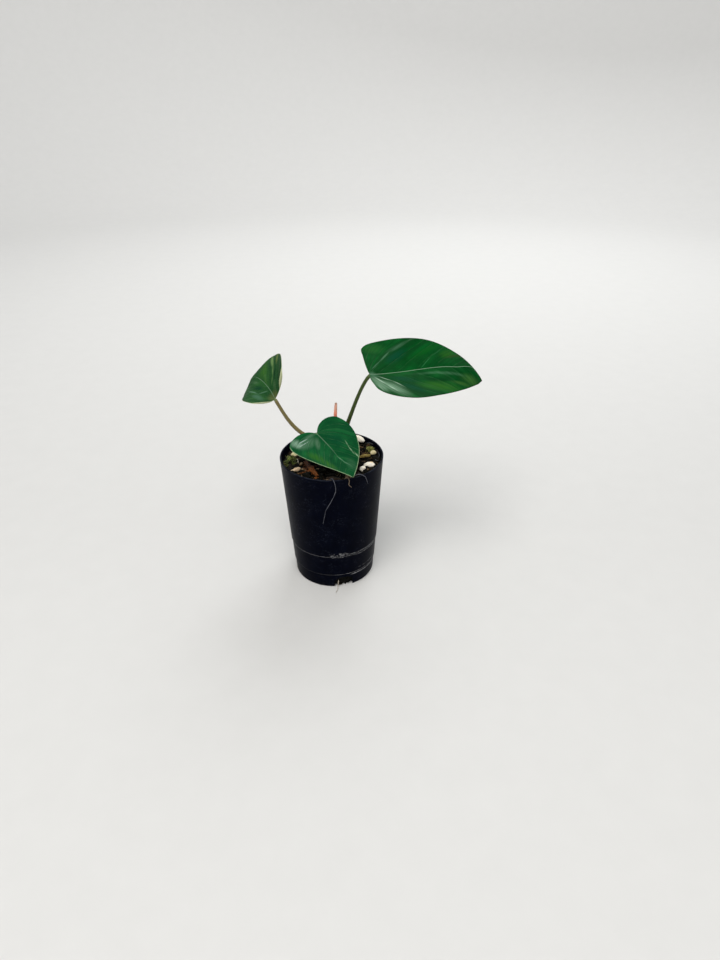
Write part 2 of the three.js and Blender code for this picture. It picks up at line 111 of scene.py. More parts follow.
# %% Smooth random lumps
def lumps(points, size, seed=0):
    """Values from -1 to 1 at points in mm, with lumps of about the given size in mm."""
    cells = np.asarray(points, float) / np.asarray(size, float) + 500.0 + 7.31 * seed
    corner = np.floor(cells).astype(np.uint64)
    part = cells - corner
    part = part * part * (3 - 2 * part)
    total = np.zeros(len(cells))
    for step in np.ndindex(*(2,) * cells.shape[1]):
        key = corner + np.array(step, np.uint64)
        mixed = np.full(len(cells), seed + 1, np.uint64)
        for axis, factor in zip(range(cells.shape[1]), (73856093, 19349663, 83492791)):
            mixed = (mixed * np.uint64(31)) ^ (key[:, axis] * np.uint64(factor))
        mixed = (mixed ^ (mixed >> np.uint64(13))) * np.uint64(1274126177) % np.uint64(2**32)
        mixed = (mixed ^ (mixed >> np.uint64(15))) * np.uint64(2246822519) % np.uint64(2**32)
        share = np.prod(np.where(np.array(step) == 1, part, 1 - part), axis=1)
        total += share * (mixed.astype(float) / 2**31 - 1)
    return total


def smooth_step(values, start, end):
    """From 0 at start to 1 at end, without a corner."""
    share = np.clip((values - start) / (end - start), 0, 1)
    return share * share * (3 - 2 * share)


print("lumps at three places:", lumps([(0, 0), (5, 5), (9, 2)], 4).round(2))

# %% [markdown]
# Stalks, roots and the rolled leaf follow a curve through a few points. Blender has curve
# objects, but a centripetal Catmull-Rom formula gives plain arrays and repeats the curves of
# the CAD source. Two cross directions go with it and turn as little as possible, so nothing
# is wrung.

# %% Curves
def smooth_path(path, steps):
    """Even points on a centripetal Catmull-Rom curve through the path."""
    knots = np.asarray(path, float)
    knots = np.vstack([2 * knots[0] - knots[1], knots, 2 * knots[-1] - knots[-2]])
    dense = []
    for p0, p1, p2, p3 in zip(knots, knots[1:], knots[2:], knots[3:]):
        gaps = [max(np.linalg.norm(b - a), 1e-6) ** 0.5 for a, b in ((p0, p1), (p1, p2), (p2, p3))]
        leave = (p1 - p0) / gaps[0] - (p2 - p0) / (gaps[0] + gaps[1]) + (p2 - p1) / gaps[1]
        reach = (p2 - p1) / gaps[1] - (p3 - p1) / (gaps[1] + gaps[2]) + (p3 - p2) / gaps[2]
        leave, reach = leave * gaps[1], reach * gaps[1]
        for t in np.linspace(0, 1, 24, endpoint=False):
            dense.append(
                p1 + leave * t + (3 * (p2 - p1) - 2 * leave - reach) * t**2
                + (2 * (p1 - p2) + leave + reach) * t**3
            )
    dense = np.array(dense + [knots[-2]])
    length = np.r_[0, np.cumsum(np.linalg.norm(np.diff(dense, axis=0), axis=1))]
    even = np.linspace(0, length[-1], steps + 1)
    return np.stack([np.interp(even, length, dense[:, axis]) for axis in range(3)], 1)


def path_frames(line):
    """Direction and two cross directions at each point, turning as little as possible."""
    forward = np.gradient(line, axis=0)
    forward /= np.linalg.norm(forward, axis=1)[:, None]
    side = np.cross(forward[0], [0.31, 0.95, 0.05])
    sides = []
    for direction in forward:
        side = side - direction * side.dot(direction)
        side = side / np.linalg.norm(side)
        sides.append(side)
    sides = np.array(sides)
    return forward, sides, np.cross(forward, sides)


print("points on a short curve:", len(smooth_path([(0, 0, 0), (3, 1, 8), (0, 4, 15)], 20)))

# %% [markdown]
# A sweep sets a ring of points at every step of a curve and joins the rings with faces. A
# curve bevel has only one fixed section, and the rolled leaf and the ridged stalks need one
# that changes. Small bits are joined to one piece, because hundreds of objects would be slow.

# %% Sweeps and joined parts
def grid_faces(rows, columns):
    """Faces of rings that close on themselves."""
    return [
        (row * columns + k, row * columns + (k + 1) % columns,
         (row + 1) * columns + (k + 1) % columns, (row + 1) * columns + k)
        for row in range(rows - 1) for k in range(columns)
    ]


def round_angles(count):
    return np.linspace(0, 2 * np.pi, count, endpoint=False)


def round_section(count):
    angles = round_angles(count)
    return lambda share: (np.cos(angles), np.sin(angles))


def sweep(line, radii, section, rounded=0):
    """Closed skin of rings along a line; section(angles, share) is the ring's shape."""
    forward, sides, ups = path_frames(line)
    share = np.linspace(0, 1, len(line))
    sizes = np.interp(share, np.linspace(0, 1, len(radii)), radii)
    if rounded:
        from_end = np.arange(len(line))[::-1] / rounded
        sizes = sizes * np.sqrt(np.clip(1 - (1 - np.clip(from_end, 0.02, 1)) ** 2, 0, 1))
    rings = []
    for k, place in enumerate(line):
        across, along = section(share[k])
        rings.append(place + sizes[k] * (across[:, None] * sides[k] + along[:, None] * ups[k]))
    sides_count = len(rings[0])
    points = np.vstack(rings + [line[:1], line[-1:]])
    faces = grid_faces(len(line), sides_count)
    first, last = len(points) - 2, len(points) - 1
    for k in range(sides_count):
        turn = (k + 1) % sides_count
        faces.append((first, turn, k))
        faces.append((last, last - 1 - sides_count + k, last - 1 - sides_count + turn))
    return points, faces, np.r_[np.repeat(share, sides_count), 0, 1]


def join(parts):
    """Several (points, faces) parts as one, with the part that each point belongs to."""
    points, faces, owner, start = [], [], [], 0
    for number, (part_points, part_faces) in enumerate(parts):
        points.append(part_points)
        faces += [[corner + start for corner in face] for face in part_faces]
        owner += [number] * len(part_points)
        start += len(part_points)
    return np.vstack(points), faces, np.array(owner)


def make_joined(name, parts, material, slot, *nodes, tones=None):
    """One piece from many parts; tones is a value per part."""
    points, faces, owner = join(parts)
    numbers = None if tones is None else {"tone": np.array(tones)[owner]}
    return make_piece(name, points, faces, material, slot, *nodes, numbers=numbers)


print("faces between two rings of six:", len(grid_faces(2, 6)))

# %% [markdown]
# Materials are graphs of nodes. Short helpers keep them readable: each adds one node, takes
# plain values or sockets, and gives back the next socket. Surface places are read in
# millimetres, so a scale of 2 means two lumps a millimetre.

# %% Helpers for material nodes
def feed(tree, socket, value):
    if isinstance(value, bpy.types.NodeSocket):
        tree.links.new(value, socket)
    else:
        socket.default_value = value


def add_node(tree, kind, inputs=None, **settings):
    made = tree.nodes.new("ShaderNode" + kind)
    for setting, value in settings.items():
        setattr(made, setting, value)
    for socket, value in (inputs or {}).items():
        feed(tree, made.inputs[socket], value)
    return made


def maths(tree, operation, *values):
    return add_node(tree, "Math", dict(enumerate(values)), operation=operation).outputs[0]


def product(tree, *values):
    return functools.reduce(lambda first, second: maths(tree, "MULTIPLY", first, second), values)


def plus(tree, *values):
    return functools.reduce(lambda first, second: maths(tree, "ADD", first, second), values)


def fade(tree, value, start, end, low=0.0, high=1.0):
    """A smooth change from low to high while value goes from start to end."""
    inputs = {"Value": value, "From Min": start, "From Max": end, "To Min": low, "To Max": high}
    made = add_node(tree, "MapRange", inputs, interpolation_type="SMOOTHSTEP")
    return made.outputs["Result"]


def band(tree, value, middle, reach):
    """A soft line where value is close to middle."""
    away = maths(tree, "ABSOLUTE", maths(tree, "SUBTRACT", value, middle))
    return fade(tree, away, reach, reach * 0.35)


# %% [markdown]
# A finish is built like paint: a ground colour, then layers, each with a mask, a strength and
# a colour. A picture wrapped round the piece could do it, but masks from noise need no
# unwrapping and stay sharp. Values that are the same all over are set on the shader itself.

# %% Layers of colour and the finish
def mix(tree, share, first, second):
    made = add_node(tree, "Mix", data_type="RGBA")
    for socket, value in ((0, share), (6, first), (7, second)):
        if socket and isinstance(value, tuple):
            value = (*value, 1.0)
        feed(tree, made.inputs[socket], value)
    return made.outputs[2]


def layered(tree, colour, *layers):
    """Colours laid over a ground; a layer is a mask, its strength and its colour."""
    for mask, strength, tone in layers:
        share = mask if strength == 1.0 else product(tree, mask, strength)
        colour = mix(tree, share, colour, tone)
    return colour


def noise(tree, place, scale, detail=3.0, roughness=0.55):
    inputs = {"Vector": place, "Scale": scale, "Detail": detail, "Roughness": roughness}
    return add_node(tree, "TexNoise", inputs).outputs[0]


def stretch(tree, place, scale):
    inputs = {0: place, 1: scale}
    return add_node(tree, "VectorMath", inputs, operation="MULTIPLY").outputs[0]


def surface_mm(tree):
    place = add_node(tree, "TexCoord").outputs["Object"]
    return stretch(tree, place, (1000.0, 1000.0, 1000.0))


def number(tree, label):
    return add_node(tree, "Attribute", attribute_name=label).outputs["Fac"]


def new_material(name, **settings):
    """An empty material with its surface shader; settings are plain shader values."""
    material = bpy.data.materials.new(name)
    material.use_nodes = True
    shader = material.node_tree.nodes["Principled BSDF"]
    for label, value in settings.items():
        shader.inputs[label.replace("_", " ").title().replace("Ior", "IOR")].default_value = value
    print("material:", name)
    return material, material.node_tree, shader


def finish(tree, shader, colour, roughness, height, strength=1.0):
    """Colour, roughness and a height in mm go to the shader."""
    feed(tree, shader.inputs["Base Color"], colour)
    feed(tree, shader.inputs["Roughness"], roughness)
    bump = add_node(tree, "Bump", {"Strength": strength, "Distance": MM, "Height": height})
    feed(tree, shader.inputs["Normal"], bump.outputs["Normal"])


# %% [markdown]
# Some effects return on many surfaces. Each is a node group, made once and placed with values
# of its own, that gives only masks and heights. The first draws fibres from noise stretched
# along one axis; a wave texture would look too even for a plant.

# %% Group for fibres
def new_group(name, inputs, outputs):
    """Inputs with their plain values; an input without one is a vector."""
    group = bpy.data.node_groups.new(name, "ShaderNodeTree")
    for label, value in inputs.items():
        kind = "NodeSocketVector" if value is None else "NodeSocketFloat"
        socket = group.interface.new_socket(label, in_out="INPUT", socket_type=kind)
        if value is not None:
            socket.default_value = value
    for label in outputs:
        group.interface.new_socket(label, in_out="OUTPUT", socket_type="NodeSocketFloat")
    enter = group.nodes.new("NodeGroupInput").outputs
    leave = group.nodes.new("NodeGroupOutput").inputs
    return group, enter, leave


def place_group(tree, group, **inputs):
    made = add_node(tree, "Group", node_tree=group)
    for label, value in inputs.items():
        feed(tree, made.inputs[label.replace("_", " ").capitalize()], value)
    return made.outputs


def fibre_group():
    """Streaks along the vector's last axis, as broad bands and as fine fibres."""
    inputs = {"Place": None, "Width": 1.0, "Length": 12.0}
    group, enter, leave = new_group("fibres", inputs, ["Bands", "Fine"])
    across = maths(group, "DIVIDE", 1.0, enter["Width"])
    along = maths(group, "DIVIDE", 1.0, enter["Length"])
    scale = add_node(group, "CombineXYZ", {0: across, 1: across, 2: along}).outputs[0]
    place = stretch(group, enter["Place"], scale)
    feed(group, leave["Bands"], fade(group, noise(group, place, 0.6, 2.0), 0.35, 0.65))
    feed(group, leave["Fine"], fade(group, noise(group, place, 2.6, 4.0, 0.7), 0.3, 0.7))
    return group


fibres = fibre_group()
print("group:", fibres.name)

# %% [markdown]
# Two more groups: sparse round specks for dust and flecks, from a Voronoi texture, and
# crumbly lumps in two sizes for mix, stone and bark. A picture would stretch over such uneven
# pieces; these fit any shape.

# %% Groups for specks and crumble
def speck_group():
    """Sparse round specks, each a random size up to the given one in mm."""
    inputs = {"Place": None, "Spacing": 2.0, "Size": 0.2}
    group, enter, leave = new_group("specks", inputs, ["Specks"])
    scale = maths(group, "DIVIDE", 1.0, enter["Spacing"])
    cells = add_node(group, "TexVoronoi", {"Vector": enter["Place"], "Scale": scale})
    distance = product(group, cells.outputs["Distance"], enter["Spacing"])
    chance = add_node(group, "SeparateColor", {0: cells.outputs["Color"]}).outputs[0]
    radius = product(group, enter["Size"], fade(group, chance, 0.55, 1.0))
    feed(group, leave["Specks"], fade(group, distance, radius, product(group, radius, 0.6)))
    return group


def crumb_group():
    """Lumps in two sizes: a mask for colour and a height in mm."""
    inputs = {"Place": None, "Coarse": 1.5, "Fine": 0.3}
    group, enter, leave = new_group("crumble", inputs, ["Tone", "Height"])
    coarse = noise(group, enter["Place"], maths(group, "DIVIDE", 1.0, enter["Coarse"]), 4.0, 0.6)
    fine = noise(group, enter["Place"], maths(group, "DIVIDE", 1.0, enter["Fine"]), 3.0, 0.65)
    both = plus(group, product(group, coarse, 0.6), product(group, fine, 0.4))
    feed(group, leave["Tone"], fade(group, both, 0.36, 0.64))
    heights = plus(group, product(group, coarse, enter["Coarse"]), product(group, fine, enter["Fine"]))
    feed(group, leave["Height"], product(group, heights, 0.4))
    return group


specks, crumble = speck_group(), crumb_group()
print("groups:", specks.name, crumble.name)

# %% [markdown]
# Two groups serve the leaves: one turns a number that is whole on each vein into thin lines
# with a soft dip, the other is a soft oval spot for patches of colour. Both could be brushed
# on as a picture, but a few numbers are easier to change.

# %% Groups for veins and soft patches
def vein_group():
    """Lines where the vein number is whole: a thin line and the soft dip around it."""
    inputs = {"Vein": 0.0, "Gap": 5.0, "Width": 0.3}
    group, enter, leave = new_group("vein_lines", inputs, ["Line", "Dip"])
    distance = product(group, maths(group, "PINGPONG", enter["Vein"], 0.5), enter["Gap"])
    feed(group, leave["Line"], fade(group, distance, enter["Width"], 0.0))
    feed(group, leave["Dip"], fade(group, distance, product(group, enter["Width"], 4.0), 0.0))
    return group


def patch_group():
    """A soft oval spot at a centre, with half sizes and a turn of its own."""
    inputs = dict.fromkeys(("Place", "Centre", "Half", "Turn"))
    group, enter, leave = new_group("soft_patch", inputs, ["Mask"])
    inputs = {"Vector": enter["Place"], "Location": enter["Centre"], "Rotation": enter["Turn"],
              "Scale": enter["Half"]}
    local = add_node(group, "Mapping", inputs, vector_type="TEXTURE").outputs[0]
    away = add_node(group, "VectorMath", {0: local}, operation="LENGTH").outputs["Value"]
    feed(group, leave["Mask"], fade(group, away, 1.0, 0.15))
    return group


vein_lines, soft_patch = vein_group(), patch_group()
print("groups:", vein_lines.name, soft_patch.name)

# %% [markdown]
# The camera stands where the photograph was taken from: close, with a wide lens, looking
# down. A least-squares program fitted its tilt, roll and lens to a large level circle in the
# photograph, and the ovals of the pot's rim and foot then gave its place. The picture is also
# turned a little, which a matrix says more clearly than angles.

# %% Camera
CAMERA_PLACE = Vector((0.0204, -0.4389, 0.3384))
LOOK_DOWN = math.radians(30.86)
CAMERA_ROLL = math.radians(0.39)
LENS_MM, SENSOR_MM = 25.89, 36.0

ahead = Vector((0, math.cos(LOOK_DOWN), -math.sin(LOOK_DOWN)))
right = Vector((1, 0, 0))
up = right.cross(ahead)
picture_right = right * math.cos(CAMERA_ROLL) - up * math.sin(CAMERA_ROLL)
picture_up = right * math.sin(CAMERA_ROLL) + up * math.cos(CAMERA_ROLL)
camera_data = bpy.data.cameras.new("camera")
camera_data.lens, camera_data.sensor_width = LENS_MM, SENSOR_MM
camera_data.clip_start = 0.01
camera = new_object("camera", camera_data)
turned = Matrix((picture_right, picture_up, -ahead)).transposed().to_4x4()
camera.matrix_world = Matrix.Translation(CAMERA_PLACE) @ turned
bpy.context.scene.camera = camera
print("camera at", tuple(round(value, 3) for value in CAMERA_PLACE))

# %% [markdown]
# The stage is a wide pale bowl whose flat floor rises smoothly all round, so there is no
# corner and no horizon from any side. A plane with one curved side would show its end as soon
# as the camera moves.

# %% Stage
FLOOR_RADIUS, BOWL_RADIUS, BOWL_HEIGHT = 1.5, 2.6, 1.9
FLOOR_PALE, FLOOR_PALER = (0.64, 0.635, 0.62), (0.67, 0.665, 0.65)


def floor_finish():
    material, tree, shader = new_material("pale_floor", specular_ior_level=0.2)
    grain = noise(tree, surface_mm(tree), 0.05, 4.0)
    finish(tree, shader, mix(tree, grain, FLOOR_PALE, FLOOR_PALER), 0.75, grain, 0.1)
    return material


def bowl_stage(sides=96):
    turns = round_angles(sides)
    bend = np.linspace(0, np.pi / 2, 17)
    radii = np.r_[[0.02, 0.2, 0.6, 1.1], FLOOR_RADIUS + (BOWL_RADIUS - FLOOR_RADIUS) * np.sin(bend)]
    heights = np.r_[[0, 0, 0, 0], BOWL_HEIGHT * (1 - np.cos(bend))]
    rings = [
        np.stack([radius * np.cos(turns), radius * np.sin(turns), np.full(sides, height)], 1)
        for radius, height in zip(radii, heights)
    ]
    faces = [face[::-1] for face in grid_faces(len(rings), sides)] + [tuple(range(sides))]
    mesh = bpy.data.meshes.new("stage")
    mesh.from_pydata(np.vstack(rings).tolist(), [], faces)
    mesh.shade_smooth()
    mesh.materials.append(floor_finish())
    new_object("stage", mesh)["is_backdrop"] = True
    print("stage faces:", len(faces))


bowl_stage()

# %% [markdown]
# Soft light comes from large panels: one high in front at the left, one above at the back for
# the sheen on the leaves, and one that only lifts the far side of the bowl. A pale sky fills
# the shadows. Small lamps would give hard shadows and bright dots.

# %% Lights and sky
# A panel is: place and aim in metres, size in metres, power in watts, tint.
PANELS = {
    "key": ((-0.2, -0.7, 1.55), (0, 0, 0.1), 1.1, 21.5, (1.0, 0.985, 0.96)),
    "back": ((0.5, 1.2, 1.3), (0, 0, 0.1), 1.0, 11.0, (0.97, 0.99, 1.0)),
    "backdrop": ((0, 0.6, 1.8), (0, 2.3, 1.3), 1.4, 18.0, (1.0, 1.0, 1.0)),
}
SKY_TINT, SKY_STRENGTH = (0.95, 0.97, 1.0, 1.0), 0.44


def soft_panel(name, place, aim, size, power, tint):
    light = bpy.data.lights.new(name, "AREA")
    light.size, light.energy, light.color = size, power, tint
    panel = new_object(name, light)
    panel.location = place
    panel.rotation_euler = (Vector(aim) - Vector(place)).to_track_quat("-Z", "Y").to_euler()


for name, panel in PANELS.items():
    soft_panel(name, *panel)
world = bpy.data.worlds.new("sky")
world.use_nodes = True
sky = world.node_tree.nodes["Background"].inputs
sky["Color"].default_value, sky["Strength"].default_value = SKY_TINT, SKY_STRENGTH
bpy.context.scene.world = world
bpy.context.scene.view_settings.view_transform = "Standard"
print("lights:", [light.name for light in bpy.data.lights])

# %% [markdown]
# The pot is moulded plastic, turned on an axis, with two shallow steps low on its wall. A
# lathe of one fine profile gives the wall, the steps and the rounded rim at once. The radius
# at a height is a formula, because the mix inside needs it too.

# %% Pot profile
POT_HEIGHT, RIM_RADIUS, FOOT_RADIUS, WALL, FLOOR = 98.0, 37.5, 30.0, 1.2, 1.5
STEP_HEIGHTS, STEP_DEPTH = (11.5, 29.3), 0.4
SPREAD = RIM_RADIUS - FOOT_RADIUS - 2 * STEP_DEPTH


def outer_radius(z):
    steps = sum(smooth_step(np.asarray(z, float), h, h + STEP_DEPTH) for h in STEP_HEIGHTS)
    return FOOT_RADIUS + STEP_DEPTH * steps + SPREAD * np.asarray(z) / POT_HEIGHT


def inner_radius(z):
    bottom = FOOT_RADIUS + SPREAD * FLOOR / POT_HEIGHT - WALL - STEP_DEPTH / 2
    return bottom + (RIM_RADIUS - WALL - bottom) * (z - FLOOR) / (POT_HEIGHT - FLOOR)


def pot_profile():
    foot = [(r, 0.0) for r in (8, 20, 27)] + [(29.3, 0.0), (29.75, 0.18), (29.98, 0.55)]
    walls = [0.9, 3, 6, 9, 11.2]
    for height in STEP_HEIGHTS:
        walls += list(height + STEP_DEPTH * np.linspace(0, 1, 6))
        walls += list(np.linspace(height + 1, height + 16, 6))
    walls += list(np.linspace(48, POT_HEIGHT - 0.6, 14))
    outer = [(float(outer_radius(z)), z) for z in sorted(walls)]
    middle, half = RIM_RADIUS - WALL / 2, WALL / 2
    rim = [(middle + half * math.cos(a), POT_HEIGHT - half + half * math.sin(a))
           for a in np.linspace(0, np.pi, 11)[1:-1]]
    inside = [(inner_radius(z), z) for z in np.linspace(POT_HEIGHT - 0.8, FLOOR + 1.2, 24)]
    return foot + outer + rim + inside + [(inner_radius(FLOOR) - 1, FLOOR), (15, FLOOR)]


print("points of the profile:", len(pot_profile()))

# %% [markdown]
# Three arched drainage notches go through the foot, 120 degrees apart. They are cut with a
# boolean, as a mould would leave them; built into the lathe they would tear its even rings.

# %% Turning and cutting
NOTCH_ANGLES, NOTCH_REACH = (-75, 45, 165), (24.0, 36.0)
NOTCH_HALF, NOTCH_STRAIGHT, NOTCH_ARCH = 7.0, 4.5, 4.5


def lathe(profile, sides):
    turns = round_angles(sides)
    rings = [np.stack([r * np.cos(turns), r * np.sin(turns), np.full(sides, z)], 1) for r, z in profile]
    points = np.vstack(rings + [[[0, 0, profile[0][1]]], [[0, 0, profile[-1][1]]]])
    faces = grid_faces(len(rings), sides)
    low, top, last = len(points) - 2, len(points) - 1, (len(rings) - 1) * sides
    for k in range(sides):
        faces.append((low, (k + 1) % sides, k))
        faces.append((top, last + k, last + (k + 1) % sides))
    return points, faces


def notch_block(angle):
    """Points and faces of the block that cuts one notch."""
    arch = [(-NOTCH_HALF, -1.0), (NOTCH_HALF, -1.0)]
    arch += [(NOTCH_HALF * math.cos(a), NOTCH_STRAIGHT + NOTCH_ARCH * math.sin(a))
             for a in np.linspace(0, np.pi, 25)]
    out, side = (np.array([math.cos(a), math.sin(a), 0.0])
                 for a in (math.radians(angle), math.radians(angle + 90)))
    rings = [[out * reach + side * x + [0, 0, z] for x, z in arch] for reach in NOTCH_REACH]
    count = len(arch)
    faces = grid_faces(2, count) + [tuple(range(count))[::-1], tuple(range(count, 2 * count))]
    return np.array(rings[0] + rings[1]), faces


def evaluated(piece):
    """The piece's mesh with its modifiers worked in."""
    bpy.context.view_layer.update()
    shaped = bpy.data.meshes.new_from_object(piece.evaluated_get(bpy.context.evaluated_depsgraph_get()))
    piece.modifiers.clear()
    piece.data = shaped
    return shaped


print("points of a notch block:", len(notch_block(0)[0]))

# %% [markdown]
# Hard water leaves a broken white line on each step, and a scribbled scuff above the upper
# one. The lines are masks from the height on the wall and the angle round it, so they stay on
# the steps and need no unwrapped pot.

# %% Lime lines
def lime_lines(tree, place, z, turn):
    """Broken white lines on the two steps; turn is zero in front and grows to the right."""
    frayed = plus(tree, z, product(tree, noise(tree, place, 0.5, 4.0, 0.6), 0.7))
    low, high = (height + 0.55 for height in STEP_HEIGHTS)
    broken = noise(tree, place, 0.35, 5.0, 0.72)
    gaps = fade(tree, broken, 0.4, 0.52)
    loops = noise(tree, stretch(tree, place, (0.7, 0.7, 1.5)), 0.42, 3.0)
    scuff = product(tree, band(tree, loops, 0.5, 0.035), band(tree, z, high + 0.8, 3.0),
                    band(tree, turn, 0.15, 0.28), gaps, 0.6)
    # A stroke is: height, half width, where it shows, strength.
    strokes = [
        (high, 0.36, fade(tree, broken, 0.36, 0.5), 0.6),
        (high + 1.3, 0.3, product(tree, gaps, fade(tree, turn, 0.3, 0.5)), 0.5),
        (high - 1.2, 0.3, product(tree, gaps, fade(tree, turn, 0.45, 0.7)), 0.4),
        (low, 0.36, fade(tree, turn, -0.2, 0.35, 0.22, 1.0), 0.8),
        (low - 1.8, 0.34, product(tree, gaps, fade(tree, turn, 0.4, 0.55)), 0.85),
        (low + 3.4, 0.25, product(tree, gaps, fade(tree, turn, 0.5, 0.8)), 0.4),
        (high + 1.5, 0.34, product(tree, gaps, band(tree, turn, 0.12, 0.22)), 0.7),
    ]
    total = scuff
    for height, half, where, share in strokes:
        line = product(tree, band(tree, frayed, height, half), where, share)
        total = maths(tree, "MAXIMUM", total, line)
    return total


# %% [markdown]
# Black nursery plastic is satin, not deep black, with a faint ripple, hairline scratches, dust and a soiled
# foot, and the top of the rim carries a painted highlight line. One plain colour would look like a hole in
# the picture, so each of these is a mask from noise, laid on thinly.

# %% Pot finish
PLASTIC, PLASTIC_BLUE = (0.0004, 0.001, 0.0046), (0.001, 0.0019, 0.007)
SCRATCHED, DUSTY, LIME = (0.04, 0.046, 0.066), (0.07, 0.075, 0.09), (0.5, 0.505, 0.52)
SOILED, RIM_HIGHLIGHT = (0.1, 0.08, 0.055), (0.035, 0.042, 0.058)


def pot_scratches(tree, place):
    """Hairline scratches that lie flat on the wall, in a few worn areas."""
    fine = noise(tree, stretch(tree, place, (1.0, 1.0, 3.0)), 0.13, 2.0)
    bent = noise(tree, stretch(tree, place, (1.0, 1.0, 1.6)), 0.21, 3.0)
    hairs = maths(tree, "MAXIMUM", band(tree, fine, 0.5, 0.014), band(tree, bent, 0.53, 0.016))
    worn = fade(tree, noise(tree, place, 0.11, 3.0), 0.42, 0.62)
    return product(tree, hairs, worn, fade(tree, noise(tree, place, 0.7, 2.0), 0.4, 0.6))


def pot_finish():
    material, tree, shader = new_material("pot_plastic", specular_ior_level=0.02)
    place = surface_mm(tree)
    x, y, z = add_node(tree, "SeparateXYZ", {0: place}).outputs[:3]
    lime = lime_lines(tree, place, z, maths(tree, "ARCTAN2", x, product(tree, y, -1.0)))
    cloudy = noise(tree, place, 0.09, 4.0)
    scratches = pot_scratches(tree, place)
    dust = product(tree, place_group(tree, specks, place=place, spacing=1.5, size=0.18)["Specks"],
                   fade(tree, noise(tree, place, 0.07, 2.0), 0.42, 0.7))
    soil = product(tree, fade(tree, z, 13.0, 0.0),
                   fade(tree, noise(tree, place, 0.5, 5.0, 0.7), 0.52, 0.75))
    # A paler band round the top of the rim: a painted highlight line.
    rim = product(tree, fade(tree, z, POT_HEIGHT - 0.8, POT_HEIGHT - 0.15),
                  fade(tree, noise(tree, place, 0.3, 4.0), 0.3, 0.6))
    colour = layered(
        tree, PLASTIC, (fade(tree, cloudy, 0.35, 0.7), 1.0, PLASTIC_BLUE),
        (scratches, 0.35, SCRATCHED), (dust, 0.12, DUSTY), (lime, 1.0, LIME),
        (soil, 0.12, SOILED), (rim, 0.4, RIM_HIGHLIGHT))
    roughness = plus(tree, product(tree, lime, 0.4), product(tree, cloudy, 0.16), 0.28)
    ripple = noise(tree, stretch(tree, place, (1.0, 1.0, 0.12)), 0.35, 2.0)
    height = plus(tree, product(tree, ripple, 0.1), product(tree, noise(tree, place, 6.0, 2.0), 0.006),
                  product(tree, lime, 0.05), product(tree, scratches, -0.02))
    finish(tree, shader, colour, roughness, height, 0.55)
    return material


# %% Build the pot
def build_pot():
    points, faces = lathe(pot_profile(), 256)
    pot = make_piece("pot_shell", points, faces, pot_finish(), "pot_plastic", "pot")
    cutters = []
    for angle in NOTCH_ANGLES:
        mesh = bpy.data.meshes.new("notch")
        block, block_faces = notch_block(angle)
        mesh.from_pydata((block * MM).tolist(), [], block_faces)
        cutters.append(new_object("notch", mesh))
        cut = pot.modifiers.new("notch", "BOOLEAN")
        cut.operation, cut.solver, cut.object = "DIFFERENCE", "EXACT", cutters[-1]
    shaped = evaluated(pot)
    shaped.set_sharp_from_angle(angle=math.radians(38))
    for cutter in cutters:
        bpy.data.objects.remove(cutter)
    print("pot faces after cutting:", len(shaped.polygons))


build_pot()

# %% [markdown]
# A leaf blade is a flat heart-shaped outline that the plant folds along its midrib, curls across, bends and
# twists. It could be sculpted, but the CAD source uses this formula with the same numbers, so the finer
# blade fits the measured one. The numbers up to roll weren't chosen one by one: a least-squares program
# fitted the formula to each leaf's outline, which was marked in the photograph, and nearly all are its
# results, rounded. One view leaves the depth open, so other numbers could fit as well. Angles are in
# degrees, flat places in leaf lengths from the stalk.

# %% The three blades as numbers
# Pairs are for the right and the left half. A lip is: half, middle and reach in leaf lengths,
# radius of the roll and how far the margin is drawn in, both in mm.
OUTLINE_TIP = [(0, 1), (0.045, 0.93), (0.17, 0.76)]
OUTLINE_SIDE = [(0.3, 0.55), (0.385, 0.3), (0.4, 0.08)]
OUTLINE_LOBE = [(0.345, -0.1), (0.235, -0.185), (0.115, -0.165), (0.035, -0.075), (0, 0)]
LEAVES = {
    "right": dict(
        attach=(27.5, 8.1, 156.3), length=86.7, width=1.08, lobe=0.1, wider=0.013, deeper=0.15,
        tip_fullness=(1.17, 0.94), fold=(20.8, -3.4), fold_growth=(-25.9, 0.6), fold_tip=(-7.8, -21.8),
        curl=(26, 9.2), cup=-16.9, bend=-39.7, tip_bend=94.4, twist=-16.5, bow=-0.038, yaw=11, pitch=-9.5,
        roll=-18.6, vein_start=(0.037, 0.06), vein_spacing=0.16, vein_bend=1.2, seed=1, lips=[],
    ),
    "left": dict(
        attach=(-39.9, 15, 135.2), length=56.7, width=1.05, lobe=0.15, wider=0.07, deeper=-0.28,
        tip_fullness=(1, 1), fold=(34.2, 30.7), fold_growth=(-43, -62.5), fold_tip=(0, 0),
        curl=(-9.2, -16.5), cup=72.8, bend=28.3, tip_bend=73.9, twist=5.9, bow=0.09, yaw=132.6, pitch=12.1,
        roll=32.5, vein_start=(0.05, 0.1), vein_spacing=0.15, vein_bend=1.2, seed=2,
        lips=[(1, 0.29, 0.14, 1.05, 0.2), (1, 0.12, 0.14, 0.0, 1.5), (-1, 0.22, 0.16, 0.5, 0.2)],
    ),
    "front": dict(
        attach=(-9.9, -1.9, 115.6), length=49.6, width=1.13, lobe=0.74, wider=0.03, deeper=-0.03,
        tip_fullness=(1, 1), fold=(0.7, 7.9), fold_growth=(12, 4), fold_tip=(0, 0),
        curl=(14.3, -2.4), cup=-11, bend=-5.5, tip_bend=-18.5, twist=20.8, bow=-0.04, yaw=-54.9,
        pitch=-21.1, roll=-17.3, vein_start=(0.05, 0.09), vein_spacing=0.14, vein_bend=2.2, seed=3, lips=[],
    ),
}


print("leaf lengths in mm:", {side: leaf["length"] for side, leaf in LEAVES.items()})

# %% [markdown]
# Each half of the outline is a smooth curve through a few points that all leaves share;
# width, lobes and tip differ. Its points are evenly spaced, so that the faces at the edge are
# of one size.

